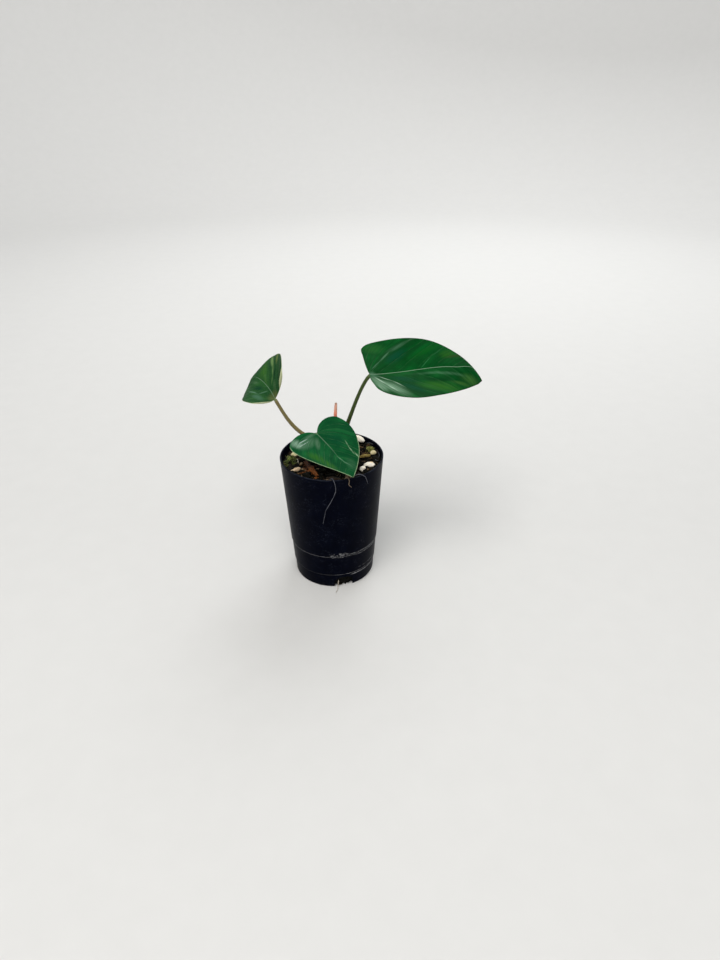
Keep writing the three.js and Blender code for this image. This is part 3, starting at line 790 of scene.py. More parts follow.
# %% Half an outline
def half_outline(leaf, side, spacing):
    """Even points round one half, from the tip to beside the stalk, in leaf lengths."""
    width = leaf["width"] * (1 + side * leaf["wider"])
    lobe = leaf["lobe"] * (1 + side * leaf["deeper"])
    fullness = leaf["tip_fullness"][0 if side > 0 else 1]
    fuller = (1, fullness**4, fullness)
    knots = [(x * width * f, y) for (x, y), f in zip(OUTLINE_TIP, fuller)]
    knots += [(x * width, y) for x, y in OUTLINE_SIDE]
    knots = np.array(knots + [(x * width, y * lobe) for x, y in OUTLINE_LOBE])
    knots = np.vstack([2 * knots[0] - knots[1], knots, 2 * knots[-1] - knots[-2]])
    dense = []
    for p0, p1, p2, p3 in list(zip(knots, knots[1:], knots[2:], knots[3:]))[:-1]:
        for t in np.linspace(0, 1, 30, endpoint=False):
            dense.append(0.5 * (2 * p1 + (p2 - p0) * t + (2 * p0 - 5 * p1 + 4 * p2 - p3) * t**2
                                + (3 * p1 - p0 - 3 * p2 + p3) * t**3))
    dense = np.array(dense + [knots[-3]])
    length = np.r_[0, np.cumsum(np.linalg.norm(np.diff(dense, axis=0), axis=1))]
    even = np.linspace(0, length[-1], int(length[-1] * leaf["length"] / spacing) + 1)
    return np.stack([np.interp(even, length, dense[:, axis]) for axis in range(2)], 1)


print("points of one half:", len(half_outline(LEAVES["right"], 1, 1.0)))

# %% [markdown]
# The formula itself: fold and curl give the shape across, the bend of the midrib is added up
# in short steps, and three axes set the leaf in space. Bend modifiers could come near it, but
# not exactly to the CAD's surface.

# %% From flat to shaped
def blade_axes(leaf):
    yaw, pitch, roll = (math.radians(leaf[name]) for name in ("yaw", "pitch", "roll"))
    along = np.array([math.cos(yaw) * math.cos(pitch), math.sin(yaw) * math.cos(pitch), math.sin(pitch)])
    level = np.array([math.sin(yaw), -math.cos(yaw), 0.0])
    upright = np.cross(level, along)
    across = level * math.cos(roll) + upright * math.sin(roll)
    return across, along, upright * math.cos(roll) - level * math.sin(roll)


def blade_points(leaf, flat):
    x, y = flat[:, 0], flat[:, 1]
    pick = lambda pair: np.where(x >= 0, pair[0], pair[1])
    near_tip = np.clip(y, 0, None) ** 4
    fold = pick(leaf["fold"]) + pick(leaf["fold_growth"]) * y + pick(leaf["fold_tip"]) * near_tip
    fold = np.radians(fold)
    curl = np.radians(pick(leaf["curl"]) + leaf["cup"] * np.clip(1 - y / 0.5, 0, 1.6))
    curl = np.where(np.abs(curl) < 1e-6, 1e-6, curl)
    end = fold + curl * np.abs(x)
    along_half = np.clip(y, 0, 1)
    across = np.sign(x) * (np.sin(end) - np.sin(fold)) / curl
    across = across + leaf["bow"] * 4 * along_half * (1 - along_half)
    lifted = (np.cos(fold) - np.cos(end)) / curl
    twist = np.radians(leaf["twist"]) * y
    across, lifted = (across * np.cos(twist) - lifted * np.sin(twist),
                      across * np.sin(twist) + lifted * np.cos(twist))
    slope = lambda at: -np.radians(leaf["bend"] * at + leaf["tip_bend"] * at * np.abs(at) ** 3)
    steps = y[:, None] * (np.arange(24) + 0.5) / 24
    rib_along = np.cos(slope(steps)).sum(1) * y / 24
    rib_up = np.sin(slope(steps)).sum(1) * y / 24
    place = (across, rib_along - lifted * np.sin(slope(y)), rib_up + lifted * np.cos(slope(y)))
    shaped = sum(part[:, None] * axis for part, axis in zip(place, blade_axes(leaf)))
    return np.array(leaf["attach"]) + leaf["length"] * shaped


def blade_normals(leaf, flat, small=2e-3):
    across = blade_points(leaf, flat + [small, 0]) - blade_points(leaf, flat - [small, 0])
    along = blade_points(leaf, flat + [0, small]) - blade_points(leaf, flat - [0, small])
    normal = np.cross(across, along)
    return normal / np.linalg.norm(normal, axis=1)[:, None]


LEAF_TIP = np.array([[0.0, 1.0]])
print("tips in mm:", {side: blade_points(LEAVES[side], LEAF_TIP)[0].round(1).tolist() for side in LEAVES})

# %% [markdown]
# Veins follow a number that is whole on each side vein: it counts along the midrib, and below
# the first side vein it counts the angle round the stalk, so the veins of the lobes fan out.
# Kept per point, it lets both the mesh and the material find the nearest vein at any sharpness.

# %% Vein numbers
BASAL_ANGLE = 22.0


def vein_numbers(leaf, flat):
    x, y = flat[:, 0], flat[:, 1]
    reach = np.abs(x)
    start = np.where(x >= 0, *leaf["vein_start"])
    spacing, bend = leaf["vein_spacing"], leaf["vein_bend"]
    waver = 0.018 * lumps(flat, 0.22, leaf["seed"]) + 0.004 * lumps(flat, 0.05, leaf["seed"] + 3)
    root = y - reach - bend * reach**2 + waver
    angle = np.degrees(np.arctan2(y - bend * reach**2 + waver, reach + 1e-9))
    upper = (root - start) / spacing
    basal = -start / spacing + (angle - 45) / BASAL_ANGLE
    vein = np.where(root > 0, upper, basal)
    slant = np.sqrt(1 + (1 + 2 * bend * reach) ** 2)
    gap = np.where(root > 0, spacing / slant, np.radians(BASAL_ANGLE) * np.hypot(x, y))
    return vein, gap * leaf["length"]


print("side veins:", {side: int(vein_numbers(LEAVES[side], LEAF_TIP)[0][0]) for side in LEAVES})

# %% [markdown]
# Between its veins a leaf stands up in soft pillows, and the veins are pressed in on the
# upper face. A bump in the material could suggest it, but gloss shows real relief from every
# side, so this is geometry of a few tenths of a millimetre.

# %% Relief of a blade
# Heights and depths in mm.
PILLOW_HIGH, PILLOW_SLOPE, GROOVE_DEEP, RIB_DEEP = 0.24, 0.032, 0.07, 0.22
LONG_WAVE, SHORT_WAVE = (0.4, 13), (0.1, 5)


def distance_to_edge(leaf, flat, border):
    """Millimetres from each flat point to the outline."""
    nearest = np.full(len(flat), 9.0)
    for a, b in zip(border, border[1:]):
        step = b - a
        share = np.clip(((flat - a) @ step) / max(step @ step, 1e-12), 0, 1)
        nearest = np.minimum(nearest, np.linalg.norm(flat - a - share[:, None] * step, axis=1))
    return nearest * leaf["length"]


def blade_relief(leaf, flat, vein, gap, edge):
    """Height of the upper face over the smooth sheet, in mm."""
    flat_mm, seed = flat * leaf["length"], leaf["seed"]
    part = np.abs(vein - np.round(vein))
    rib = np.abs(flat[:, 0]) * leaf["length"]
    uneven = 0.65 + 0.55 * lumps(flat, 0.22, seed + 5)
    pillow = uneven * np.minimum(PILLOW_HIGH, PILLOW_SLOPE * gap) * np.sin(np.pi * part) ** 0.8
    pillow = pillow * smooth_step(rib, 0, 4)
    groove = -GROOVE_DEEP * uneven * np.exp(-((part * gap / 0.45) ** 2))
    midrib = -RIB_DEEP * np.exp(-((rib / 0.6) ** 2)) * (1 - 0.6 * flat[:, 1])
    waves = sum(high * lumps(flat_mm, size, seed) for high, size in (LONG_WAVE, SHORT_WAVE))
    waves = waves * (1 - 0.9 * smooth_step(flat[:, 1], 0.5, 0.75))
    inside = smooth_step(edge, 0.3, 6.0)
    return inside * (pillow + groove + waves) + midrib * smooth_step(edge, 0, 1.5)


print("highest pillow and deepest midrib in mm:", PILLOW_HIGH, RIB_DEEP)

# %% [markdown]
# The base margins of the left leaf are rolled up into narrow lips: a few more rings of points
# past the edge, which turn up and back round a small centre. Sculpting could do it, but only
# the radius and the draw inwards change along it.

# %% Rolled lips
LIP_RINGS, LIP_TURN, LIP_BACK = 12, math.radians(125), 0.6


def lip_sizes(leaf, spokes):
    """Radius of the rolled margin and how far it is drawn inwards, in mm, for each spoke."""
    radius, tuck = np.full(len(spokes), 0.02), np.zeros(len(spokes))
    for side, middle, reach, size, drawn in leaf["lips"]:
        away = (spokes[:, 0] * side - middle) / reach
        share = np.clip(1 - away**2, 0, 1) * (1 - smooth_step(spokes[:, 1], 0.1, 0.25))
        radius, tuck = radius + size * share, tuck + drawn * share
    return radius, tuck


def roll_margin(leaf, spokes, ring, inner, out):
    """Centre points and upward directions of rings that roll the margin up and inwards."""
    along = np.gradient(ring, axis=0)
    away = np.cross(along, out)
    away *= np.sign((away * (ring - inner)).sum(1))[:, None]
    away /= np.linalg.norm(away, axis=1)[:, None] + 1e-9
    radius = lip_sizes(leaf, spokes)[0][:, None]
    centres, normals = [], []
    for k in range(1, LIP_RINGS + 1):
        angle = LIP_TURN * min(k / (LIP_RINGS - 3), 1)
        back = LIP_BACK * max(k - (LIP_RINGS - 3), 0) / 3
        ahead = away * math.cos(angle) + out * math.sin(angle)
        step = away * math.sin(angle) + out * (1 - math.cos(angle)) + ahead * back
        centres.append(ring + radius * step)
        normals.append(out * math.cos(angle) - away * math.sin(angle))
    return np.vstack(centres), np.vstack(normals)


lip_radii = lip_sizes(LEAVES["left"], half_outline(LEAVES["left"], 1, 1.0))[0]
print("widest lip in mm:", lip_radii.max().round(2))

# %% [markdown]
# A blade has an upper skin with pressed-in veins and a lower one with a midrib that stands
# out, joined along the edge. A solidify modifier would give both the same relief. The flat
# places go along as a UV map, so that colours can be placed on the flat leaf.

# %% Blade mesh
LEAF_THICKNESS, POINT_SPACING, RIB_STANDING = 0.42, 0.8, 0.85


def blade_faces(width, ring_count, count):
    """Faces of the upper and the lower skin and of the edge between them."""
    faces = []
    for start, flip in ((0, 1), (count, -1)):
        at = lambda ring, k: start + 1 + ring * width + k
        for k in range(width - 1):
            faces.append((start, at(0, k), at(0, k + 1))[::flip])
            for ring in range(ring_count - 1):
                faces.append((at(ring, k), at(ring + 1, k), at(ring + 1, k + 1), at(ring, k + 1))[::flip])
    rim = [0] + [1 + ring * width for ring in range(ring_count)]
    rim += [1 + (ring_count - 1) * width + k for k in range(1, width - 1)]
    rim += [1 + ring * width + width - 1 for ring in range(ring_count - 1, -1, -1)]
    return faces + [(a, a + count, b + count, b) for a, b in zip(rim, rim[1:] + rim[:1])]


def build_blade(side, material):
    leaf = LEAVES[side]
    right_half = half_outline(leaf, 1, POINT_SPACING)
    left_half = half_outline(leaf, -1, POINT_SPACING) * [-1, 1]
    spokes = np.vstack([right_half[:0:-1], left_half])
    reach = np.linalg.norm(spokes, axis=1) * leaf["length"]
    spokes = spokes * (1 - lip_sizes(leaf, spokes)[1] / np.maximum(reach, 1))[:, None]
    width, ring_count = len(spokes), int(leaf["length"] / POINT_SPACING)
    shares = (np.arange(1, ring_count + 1) / ring_count) ** 0.85
    flat = np.vstack([[[0, 0]]] + [spokes * share for share in shares])
    vein, gap = vein_numbers(leaf, flat)
    edge = distance_to_edge(leaf, flat, np.vstack([[[0, 0]], spokes, [[0, 0]]]))
    rib = np.abs(flat[:, 0]) * leaf["length"]
    relief = blade_relief(leaf, flat, vein, gap, edge)
    half = LEAF_THICKNESS / 2 * (0.45 + 0.55 * smooth_step(edge, 0, 1.2))
    standing = RIB_STANDING * np.exp(-((rib / 0.9) ** 2)) * np.clip(1 - flat[:, 1], 0, 1)
    standing = standing * smooth_step(edge, 0, 2)
    middle, out = blade_points(leaf, flat), blade_normals(leaf, flat)
    if leaf["lips"]:
        centres, normals = roll_margin(
            leaf, spokes, middle[-width:], middle[-2 * width:-width], out[-width:])
        middle, out = np.vstack([middle, centres]), np.vstack([out, normals])
        again = np.r_[np.arange(len(flat)), np.tile(np.arange(len(flat) - width, len(flat)), LIP_RINGS)]
        flat, vein, gap, relief, half, standing = (
            values[again] for values in (flat, vein, gap, relief, half, standing))
        edge = np.r_[edge, np.repeat(-np.arange(1, LIP_RINGS + 1) / LIP_RINGS, width)]
        ring_count += LIP_RINGS
    upper = middle + out * (relief + half)[:, None]
    lower = middle + out * (relief * 0.8 - half - standing)[:, None]
    count = len(flat)
    numbers = {"vein": np.tile(vein, 2), "gap": np.tile(gap, 2), "edge": np.tile(edge, 2)}
    numbers["under"] = np.repeat([0.0, 1.0], count)
    make_piece(f"blade_{side}", np.vstack([upper, lower]), blade_faces(width, ring_count, count), material,
               "leaf", f"leaf_blade_{side}", numbers=numbers, uv=np.tile(flat, (2, 1)))


# %% [markdown]
# The upper face is a deep, slightly bluish green, streaked along its veins and fresher in patches. The
# right leaf is darker, the left one older and yellower, and the front one has a pale margin that is partly
# a painted highlight, so each has its own tones and patches, placed on the flat leaf as a painter would.
# Some patches are painted light: painted sheen, painted highlights and a tip painted lighter.

# %% Leaf tones
# A patch is: centre across and along, half length and half width, turn, colour, share.
# The sheen tone is painted sheen, a painted reflection of bright light on the leaf; the whitish tone paints
# pale veins together with a painted highlight along them.
PAINTED_SHEEN, PALE_VEIN_HIGHLIGHT, BLUISH = (0.13, 0.25, 0.15), (0.34, 0.48, 0.36), (0.001, 0.05, 0.021)
BROWNISH = (0.05, 0.035, 0.012)
DARK, PALE = (0.0006, 0.034, 0.007), (0.06, 0.16, 0.085)
LEAF_TONES = {
    "right": dict(
        deep=(0.0003, 0.038, 0.006), green=(0.001, 0.08, 0.012), margin=(0.018, 0.04, 0.014),
        net=(0.006, 0.1, 0.02), veins=0.45,
        rib=(0.95, 0.88, 0.75), rib_shift=0.06, margin_from=((-0.05, 0.1), (-0.05, 0.1)),
        patches=[
            (-0.341, 0.075, 0.15, 0.1, 70, (0.01, 0.085, 0.013), 0.9),
            (-0.194, 0.254, 0.16, 0.08, 125, BLUISH, 1.0),
            (-0.12, 0.46, 0.22, 0.08, 112, (0.0008, 0.052, 0.008), 0.9),
            (-0.2, 0.5, 0.2, 0.05, 115, (0.001, 0.075, 0.006), 0.7),
            (-0.151, 0.67, 0.1, 0.06, 115, (0.02, 0.105, 0.01), 0.8),
            (-0.11, 0.07, 0.09, 0.009, 139, PALE, 1.0), (-0.21, 0.16, 0.11, 0.013, 139, PALE, 1.0),
            (-0.305, 0.285, 0.14, 0.034, 115, (0.05, 0.13, 0.07), 0.8),
            (-0.365, 0.43, 0.1, 0.018, 106, (0.06, 0.13, 0.07), 0.7),
            (-0.12, 0.205, 0.12, 0.008, 138, DARK, 1.0), (-0.24, 0.385, 0.15, 0.01, 114, DARK, 1.0),
            (-0.07, 0.485, 0.11, 0.006, 138, (0.03, 0.16, 0.06), 0.9),
            (-0.168, 0.59, 0.09, 0.007, 126, (0.03, 0.16, 0.06), 0.8),
            (-0.145, 0.78, 0.18, 0.026, 108, BROWNISH, 0.5), (0.26, 0.12, 0.26, 0.12, 43, PAINTED_SHEEN, 1.0),
            (0.3, 0.03, 0.15, 0.06, 15, PAINTED_SHEEN, 0.9), (0.14, 0.03, 0.14, 0.06, 20, PAINTED_SHEEN, 0.8),
            (0.14, 0.058, 0.12, 0.01, 23, PALE_VEIN_HIGHLIGHT, 1.0), (0.28, 0.13, 0.1, 0.01, 35, PALE_VEIN_HIGHLIGHT, 0.9),
            (0.096, 0.11, 0.1, 0.008, 47, PALE_VEIN_HIGHLIGHT, 0.9), (0.2, 0.203, 0.1, 0.009, 38, PALE_VEIN_HIGHLIGHT, 0.7),
            (0.02, 0.03, 0.08, 0.05, 30, PALE, 1.0), (0.33, 0.02, 0.09, 0.01, 10, PALE_VEIN_HIGHLIGHT, 0.7),
            (0.252, 0.32, 0.14, 0.07, 60, BLUISH, 0.9), (0.12, 0.26, 0.16, 0.06, 75, BLUISH, 0.8),
            (0.07, 0.6, 0.34, 0.026, 86, PALE, 0.55), (0.15, 0.55, 0.2, 0.024, 83, DARK, 1.0),
            (0.226, 0.55, 0.26, 0.085, 83, (0.02, 0.105, 0.01), 0.9),
            # The next patch paints the bent tip lighter: painted light where the tip turns away into shade.
            (0.1, 0.85, 0.16, 0.08, 95, (0.035, 0.115, 0.022), 0.9),
            (0.17, 0.74, 0.14, 0.03, 88, (0.045, 0.135, 0.025), 0.7),
        ]),
    "left": dict(
        deep=(0.008, 0.052, 0.014), green=(0.026, 0.105, 0.022), margin=(0.12, 0.17, 0.08),
        net=(0.15, 0.27, 0.16), veins=0.35,
        rib=(0.75, 0.45, 0.42), rib_shift=0.0, margin_from=((-0.05, 0.1), (-0.05, 0.1)),
        patches=[
            (0.0, 0.02, 0.13, 0.12, 0, (0.14, 0.15, 0.05), 0.9),
            (0.12, 0.5, 0.2, 0.11, 42, (0.035, 0.125, 0.016), 1.0),
            (0.285, 0.44, 0.17, 0.045, 65, (0.16, 0.28, 0.09), 1.0),
            (0.205, 0.3, 0.09, 0.026, 51, (0.12, 0.22, 0.07), 0.9),
            (0.117, 0.218, 0.08, 0.017, 35, (0.09, 0.18, 0.06), 0.8),
            (0.374, 0.35, 0.13, 0.055, 42, (0.12, 0.17, 0.04), 1.0),
            (0.225, 0.235, 0.15, 0.026, 46, (0.0012, 0.026, 0.01), 1.0),
            (0.05, 0.36, 0.14, 0.03, 60, (0.05, 0.14, 0.03), 0.7),
            (-0.115, 0.345, 0.13, 0.06, 108, (0.0015, 0.036, 0.014), 1.0),
            (-0.074, 0.51, 0.13, 0.035, 100, (0.06, 0.14, 0.06), 0.8),
            (-0.2, 0.336, 0.17, 0.019, 104, (0.1, 0.21, 0.13), 0.9),
            (-0.1, 0.19, 0.1, 0.018, 166, (0.1, 0.21, 0.13), 0.8),
            (-0.205, 0.14, 0.15, 0.07, 105, (0.06, 0.15, 0.09), 0.9),
            (-0.39, 0.22, 0.06, 0.05, 0, (0.02, 0.035, 0.02), 0.9),
            (0.29, 0.115, 0.14, 0.02, 43, (0.03, 0.026, 0.009), 0.6),
            (0.1, 0.12, 0.1, 0.05, 60, (0.06, 0.13, 0.05), 0.8),
            (-0.2, 0.62, 0.2, 0.03, 100, (0.07, 0.14, 0.06), 0.7),
        ]),
    "front": dict(
        # The front leaf's near-white margin is partly its own pale edge and partly a painted highlight
        # along it.
        deep=(0.0016, 0.05, 0.0155), green=(0.006, 0.098, 0.026), margin=(0.34, 0.48, 0.27),
        net=(0.04, 0.15, 0.05), veins=0.75,
        rib=(0.65, 0.2, 0.36), rib_shift=0.0, margin_from=((-0.04, 0.02), (0.3, 0.5)),
        patches=[
            # The first six patches are painted sheen on the left lobe: grey-green zones and two whitish
            # streaks, a painted reflection of bright light.
            (0.22, 0.08, 0.22, 0.14, 20, (0.07, 0.16, 0.09), 0.95),
            (0.34, 0.0, 0.15, 0.1, 90, (0.2, 0.32, 0.23), 1.0),
            (0.25, 0.004, 0.13, 0.014, 0, (0.38, 0.5, 0.44), 0.9),
            (0.265, 0.065, 0.12, 0.012, 5, (0.38, 0.5, 0.44), 0.9),
            (0.11, 0.17, 0.16, 0.05, 60, (0.085, 0.17, 0.1), 0.8),
            (0.1, -0.02, 0.13, 0.045, 0, (0.08, 0.17, 0.1), 0.8),
            (0.29, 0.42, 0.24, 0.1, 110, (0.028, 0.125, 0.014), 0.8),
            (0.21, 0.64, 0.2, 0.08, 108, (0.03, 0.125, 0.018), 0.9),
            # The next three pale lines are a painted highlight along a fold near the margin.
            (-0.221, 0.4, 0.09, 0.009, 82, (0.26, 0.42, 0.25), 0.9),
            (-0.213, 0.53, 0.1, 0.012, 91, (0.3, 0.46, 0.28), 1.0),
            (-0.235, 0.62, 0.08, 0.013, 93, (0.3, 0.46, 0.28), 1.0),
            (-0.01, 0.57, 0.11, 0.011, 103, (0.16, 0.34, 0.2), 0.8),
            (-0.05, 0.7, 0.1, 0.012, 116, (0.18, 0.36, 0.22), 0.85),
            (-0.09, 0.74, 0.18, 0.1, 90, (0.032, 0.11, 0.05), 0.8),
            (-0.14, 0.24, 0.22, 0.14, 110, BLUISH, 0.6),
        ]),
}


print("patches:", {side: len(tones["patches"]) for side, tones in LEAF_TONES.items()})

# %% [markdown]
# The streaks are made in vein numbers instead of millimetres, so they run along the veins and
# fan out in the lobes. Veins are lines wherever the vein number is whole, finer ones count
# four times as fast, and a Voronoi texture gives the net between them.

# %% Tissue, patches and veins
def leaf_tissue(tree, leaf, tones, flat_mm, vein, across):
    """Streaky green, with the streaks, the cloudy patches and the share of fresh green."""
    place = add_node(tree, "CombineXYZ", {0: vein, 1: leaf["seed"] * 3.7, 2: across}).outputs[0]
    streak = place_group(tree, fibres, place=place, width=0.5, length=0.8)
    cloudy = fade(tree, noise(tree, flat_mm, 0.06, 2.0), 0.36, 0.66)
    fresh = product(tree, fade(tree, streak["Bands"], -0.1, 0.9), cloudy)
    green = tones["green"]
    colour = layered(tree, tones["deep"], (fresh, 1.0, green), (streak["Fine"], 0.3, green))
    return colour, streak["Fine"], cloudy, fresh


def leaf_patches(tree, colour, gloss, flat, fine, patches):
    """The patches over the tissue; those of the painted sheen colour are glossier too."""
    grained = fade(tree, fine, -0.7, 0.9)
    for centre_x, centre_y, length, width, degrees, tone, amount in patches:
        spot = place_group(
            tree, soft_patch, place=flat, centre=(centre_x, centre_y, 0.0), half=(length, width, 1.0),
            turn=(0.0, 0.0, math.radians(degrees)))["Mask"]
        colour = layered(tree, colour, (product(tree, spot, grained), amount, tone))
        if tone == PAINTED_SHEEN:
            gloss = plus(tree, gloss, product(tree, spot, 0.12))
    return colour, gloss


def leaf_veins(tree, flat_mm, vein, gap):
    """Side veins, finer veins and the net between them."""
    side_veins = place_group(tree, vein_lines, vein=vein, gap=gap, width=0.22)
    finer = {"vein": product(tree, vein, 4.0), "gap": product(tree, gap, 0.25), "width": 0.1}
    cells = add_node(tree, "TexVoronoi", {"Vector": flat_mm, "Scale": 0.9}, feature="DISTANCE_TO_EDGE")
    net = fade(tree, cells.outputs["Distance"], 0.1, 0.02)
    return side_veins, place_group(tree, vein_lines, **finer)["Line"], net


def leaf_margin(tree, flat_mm, x, y, edge, limits):
    """The pale margin, which starts at its own height on each half."""
    near, far = (fade(tree, y, *pair) for pair in limits)
    where = mix(tree, fade(tree, x, -0.02, 0.02), far, near)
    worn = fade(tree, noise(tree, flat_mm, 0.3, 3.0), 0.3, 0.6, 0.45, 1.0)
    return product(tree, fade(tree, edge, 0.5, 0.15), where, worn)


# %% Leaf finish
VEIN_GREEN, RIB_PALE, DRY_TIP = (0.07, 0.18, 0.08), (0.21, 0.33, 0.22), (0.035, 0.02, 0.008)
BELOW_DEEP, BELOW_GREEN = (0.075, 0.14, 0.05), (0.11, 0.185, 0.06)
BELOW_VEIN, BELOW_RIB, LIP_CREAM = (0.18, 0.26, 0.11), (0.22, 0.3, 0.12), (0.46, 0.49, 0.29)


def leaf_finish(side):
    leaf, tones = LEAVES[side], LEAF_TONES[side]
    material, tree, shader = new_material(f"leaf_{side}", specular_ior_level=0.01, coat_roughness=0.28)
    flat = add_node(tree, "UVMap", uv_map="flat").outputs[0]
    flat_mm = stretch(tree, flat, (float(leaf["length"]),) * 3)
    vein, gap, edge, under = (number(tree, label) for label in ("vein", "gap", "edge", "under"))
    x, y = add_node(tree, "SeparateXYZ", {0: flat}).outputs[:2]
    colour, fine, cloudy, fresh = leaf_tissue(tree, leaf, tones, flat_mm, vein, maths(tree, "ABSOLUTE", x))
    gloss = product(tree, cloudy, 0.02)
    colour, gloss = leaf_patches(tree, colour, gloss, flat, fine, tones["patches"])
    side_veins, fine_veins, net = leaf_veins(tree, flat_mm, vein, gap)
    faint = fade(tree, noise(tree, flat_mm, 0.12, 2.0), 0.35, 0.65)
    off_rib = plus(tree, x, fade(tree, y, 0.7, 0.93, 0.0, tones["rib_shift"]))
    rib = product(tree, maths(tree, "ABSOLUTE", off_rib), float(leaf["length"]))
    rib_width = maths(tree, "SUBTRACT", 0.52, product(tree, y, 0.26))
    rib_start, rib_end, rib_strength = tones["rib"]
    rib_line = product(tree, fade(tree, rib, rib_width, product(tree, rib_width, 0.35)),
                       fade(tree, y, rib_start, rib_end))
    colour = layered(
        tree, colour,
        # Round each side vein the colour is drawn towards the deep green: painted shade in the vein
        # grooves.
        (product(tree, side_veins["Dip"], faint), tones["veins"], tones["deep"]),
        (product(tree, side_veins["Line"], faint), tones["veins"], VEIN_GREEN),
        (product(tree, fine_veins, faint), 0.1, tones["net"]), (net, 0.08, tones["net"]),
        (rib_line, rib_strength, RIB_PALE),
        (leaf_margin(tree, flat_mm, x, y, edge, tones["margin_from"]), 1.0, tones["margin"]),
        (fade(tree, y, 0.965, 0.99), 0.8, DRY_TIP))
    below = layered(
        tree, BELOW_DEEP, (fresh, 1.0, BELOW_GREEN), (side_veins["Line"], 0.4, BELOW_VEIN),
        (rib_line, 0.6, BELOW_RIB), (fade(tree, edge, 0.0, -0.2), 1.0, LIP_CREAM))
    roughness = plus(tree, product(tree, under, 0.2), 0.42, product(tree, cloudy, 0.12))
    relief = plus(
        tree, product(tree, fine, 0.04), product(tree, side_veins["Dip"], -0.06),
        product(tree, fine_veins, -0.02), product(tree, net, -0.03), product(tree, rib_line, 0.05),
        product(tree, noise(tree, flat_mm, 3.5, 3.0), 0.03))
    feed(tree, shader.inputs["Coat Weight"], product(tree, gloss, maths(tree, "SUBTRACT", 1.0, under)))
    finish(tree, shader, mix(tree, under, colour, below), roughness, relief, 0.6)
    return material


for side in LEAVES:
    build_blade(side, leaf_finish(side))

# %% [markdown]
# Leaf stalks are green to olive brown, with fine ridges and brown flecks, and fresher at the
# joint under the blade. The share of the way up grades the colour along a bent stalk; a
# height in space would fail where it leans.

# %% Stalk finish
FLECK_BROWN, JOINT_GREEN = (0.16, 0.1, 0.045), (0.16, 0.22, 0.09)


def stalk_finish(name, low, high, ridge):
    material, tree, shader = new_material(name, specular_ior_level=0.25)
    place, along = surface_mm(tree), number(tree, "along")
    streak = place_group(tree, fibres, place=place, width=0.5, length=5.0)
    flecks = place_group(tree, specks, place=place, spacing=0.8, size=0.16)["Specks"]
    colour = layered(
        tree, low, (fade(tree, along, 0.0, 0.9), 1.0, high), (streak["Fine"], 0.45, ridge),
        (flecks, 0.35, FLECK_BROWN), (fade(tree, along, 0.955, 0.99), 0.6, JOINT_GREEN))
    roughness = plus(tree, product(tree, streak["Bands"], 0.15), 0.38)
    finish(tree, shader, colour, roughness, product(tree, streak["Fine"], 0.1))
    return material


# %% [markdown]
# A stalk is thicker where it clasps the stem and a little swollen under the blade, and it
# ends round inside it, so that no gap shows. A cylinder would look like wire: the section has
# low ridges, and the line wavers.

# %% Stalks
STALKS = {
    "right": ([(4.6, 9.8, 95), (7, 11, 101.3), (9.4, 11.8, 109.1), (11.9, 12, 117.4), (14.6, 11.6, 125.4),
               (17.9, 10.6, 135), (21.8, 9.4, 145), (25.6, 8.4, 152.6), (28.4, 8.3, 156.2)],
              (2.5, 2, 1.6, 1.45, 1.35, 1.25, 1.2, 1.25, 1.1)),
    "left": ([(-0.6, 8.8, 97), (-4.5, 8.8, 101), (-12, 8.8, 105.6), (-20.8, 9.4, 110), (-26, 10.8, 114),
              (-30.9, 12.2, 119.6), (-36, 13.6, 127.8), (-38.9, 14.6, 133), (-40.2, 15, 135.4)],
             (2.5, 2, 1.6, 1.45, 1.4, 1.35, 1.3, 1.25, 1.1)),
    "front": ([(0, 6.4, 96), (-2.4, 4.6, 100.5), (-5.4, 2.6, 106.5), (-8.3, 0.4, 112.2),
               (-9.9, -1.9, 115.6)],
              (2.4, 1.9, 1.4, 1.2, 1.15)),
}
STALK_TONES = {
    "right": ((0.03, 0.055, 0.006), (0.06, 0.09, 0.018), (0.018, 0.034, 0.005)),
    "left": ((0.19, 0.15, 0.045), (0.2, 0.165, 0.065), (0.1, 0.072, 0.024)),
    "front": ((0.07, 0.09, 0.025), (0.07, 0.11, 0.03), (0.035, 0.05, 0.014)),
}


def stalk_section(share):
    angles = round_angles(28)
    ridges = 1 + 0.02 * np.cos(7 * angles + 1) + 0.015 * np.cos(11 * angles)
    return np.cos(angles) * ridges, np.sin(angles) * ridges * 0.95


def build_stalk(side):
    path, radii = STALKS[side]
    line = smooth_path(path, 150)
    share = np.linspace(0, 1, len(line))
    wobble = lumps(line, 9, 5) * 0.04 * np.sin(np.pi * share)
    line = line + wobble[:, None] * [1, 0.6, 0.2]
    sizes = np.interp(share, np.linspace(0, 1, len(radii)), radii)
    sizes = sizes * (1.02 + 0.03 * lumps(line, 4, 8)) + 0.12 * np.exp(-(((share - 0.95) / 0.025) ** 2))
    points, faces, along = sweep(line, sizes, stalk_section, rounded=2.5)
    material = stalk_finish(f"stalk_{side}", *STALK_TONES[side])
    make_piece(f"stalk_{side}", points, faces, material, "stalk", f"leaf_stalk_{side}",
               numbers={"along": along})
    return line, sizes, material


print("points of each stalk:", {side: len(path) for side, (path, _) in STALKS.items()})

# %% [markdown]
# The stalks carry short soft bristles. Hair systems don't survive the export, so each bristle
# is a thin cone rooted in the skin, and a seeded random generator repeats them on every run.
# Each stalk is built here together with its bristles.

# %% Bristles
BRISTLE_RADIUS, BRISTLE_LENGTHS, BRISTLE_SPACING = 0.035, (0.25, 0.65), 0.28


def spike(root, direction, length, radius, sides=4):
    """Thin closed cone."""
    helper = np.cross(direction, [0.3, 0.2, 0.93])
    helper /= np.linalg.norm(helper)
    other = np.cross(direction, helper)
    turns = round_angles(sides)
    ring = root + radius * (np.cos(turns)[:, None] * helper + np.sin(turns)[:, None] * other)
    points = np.vstack([ring, root + direction * length])
    faces = [(k, (k + 1) % sides, sides) for k in range(sides)] + [tuple(range(sides))[::-1]]
    return points, faces


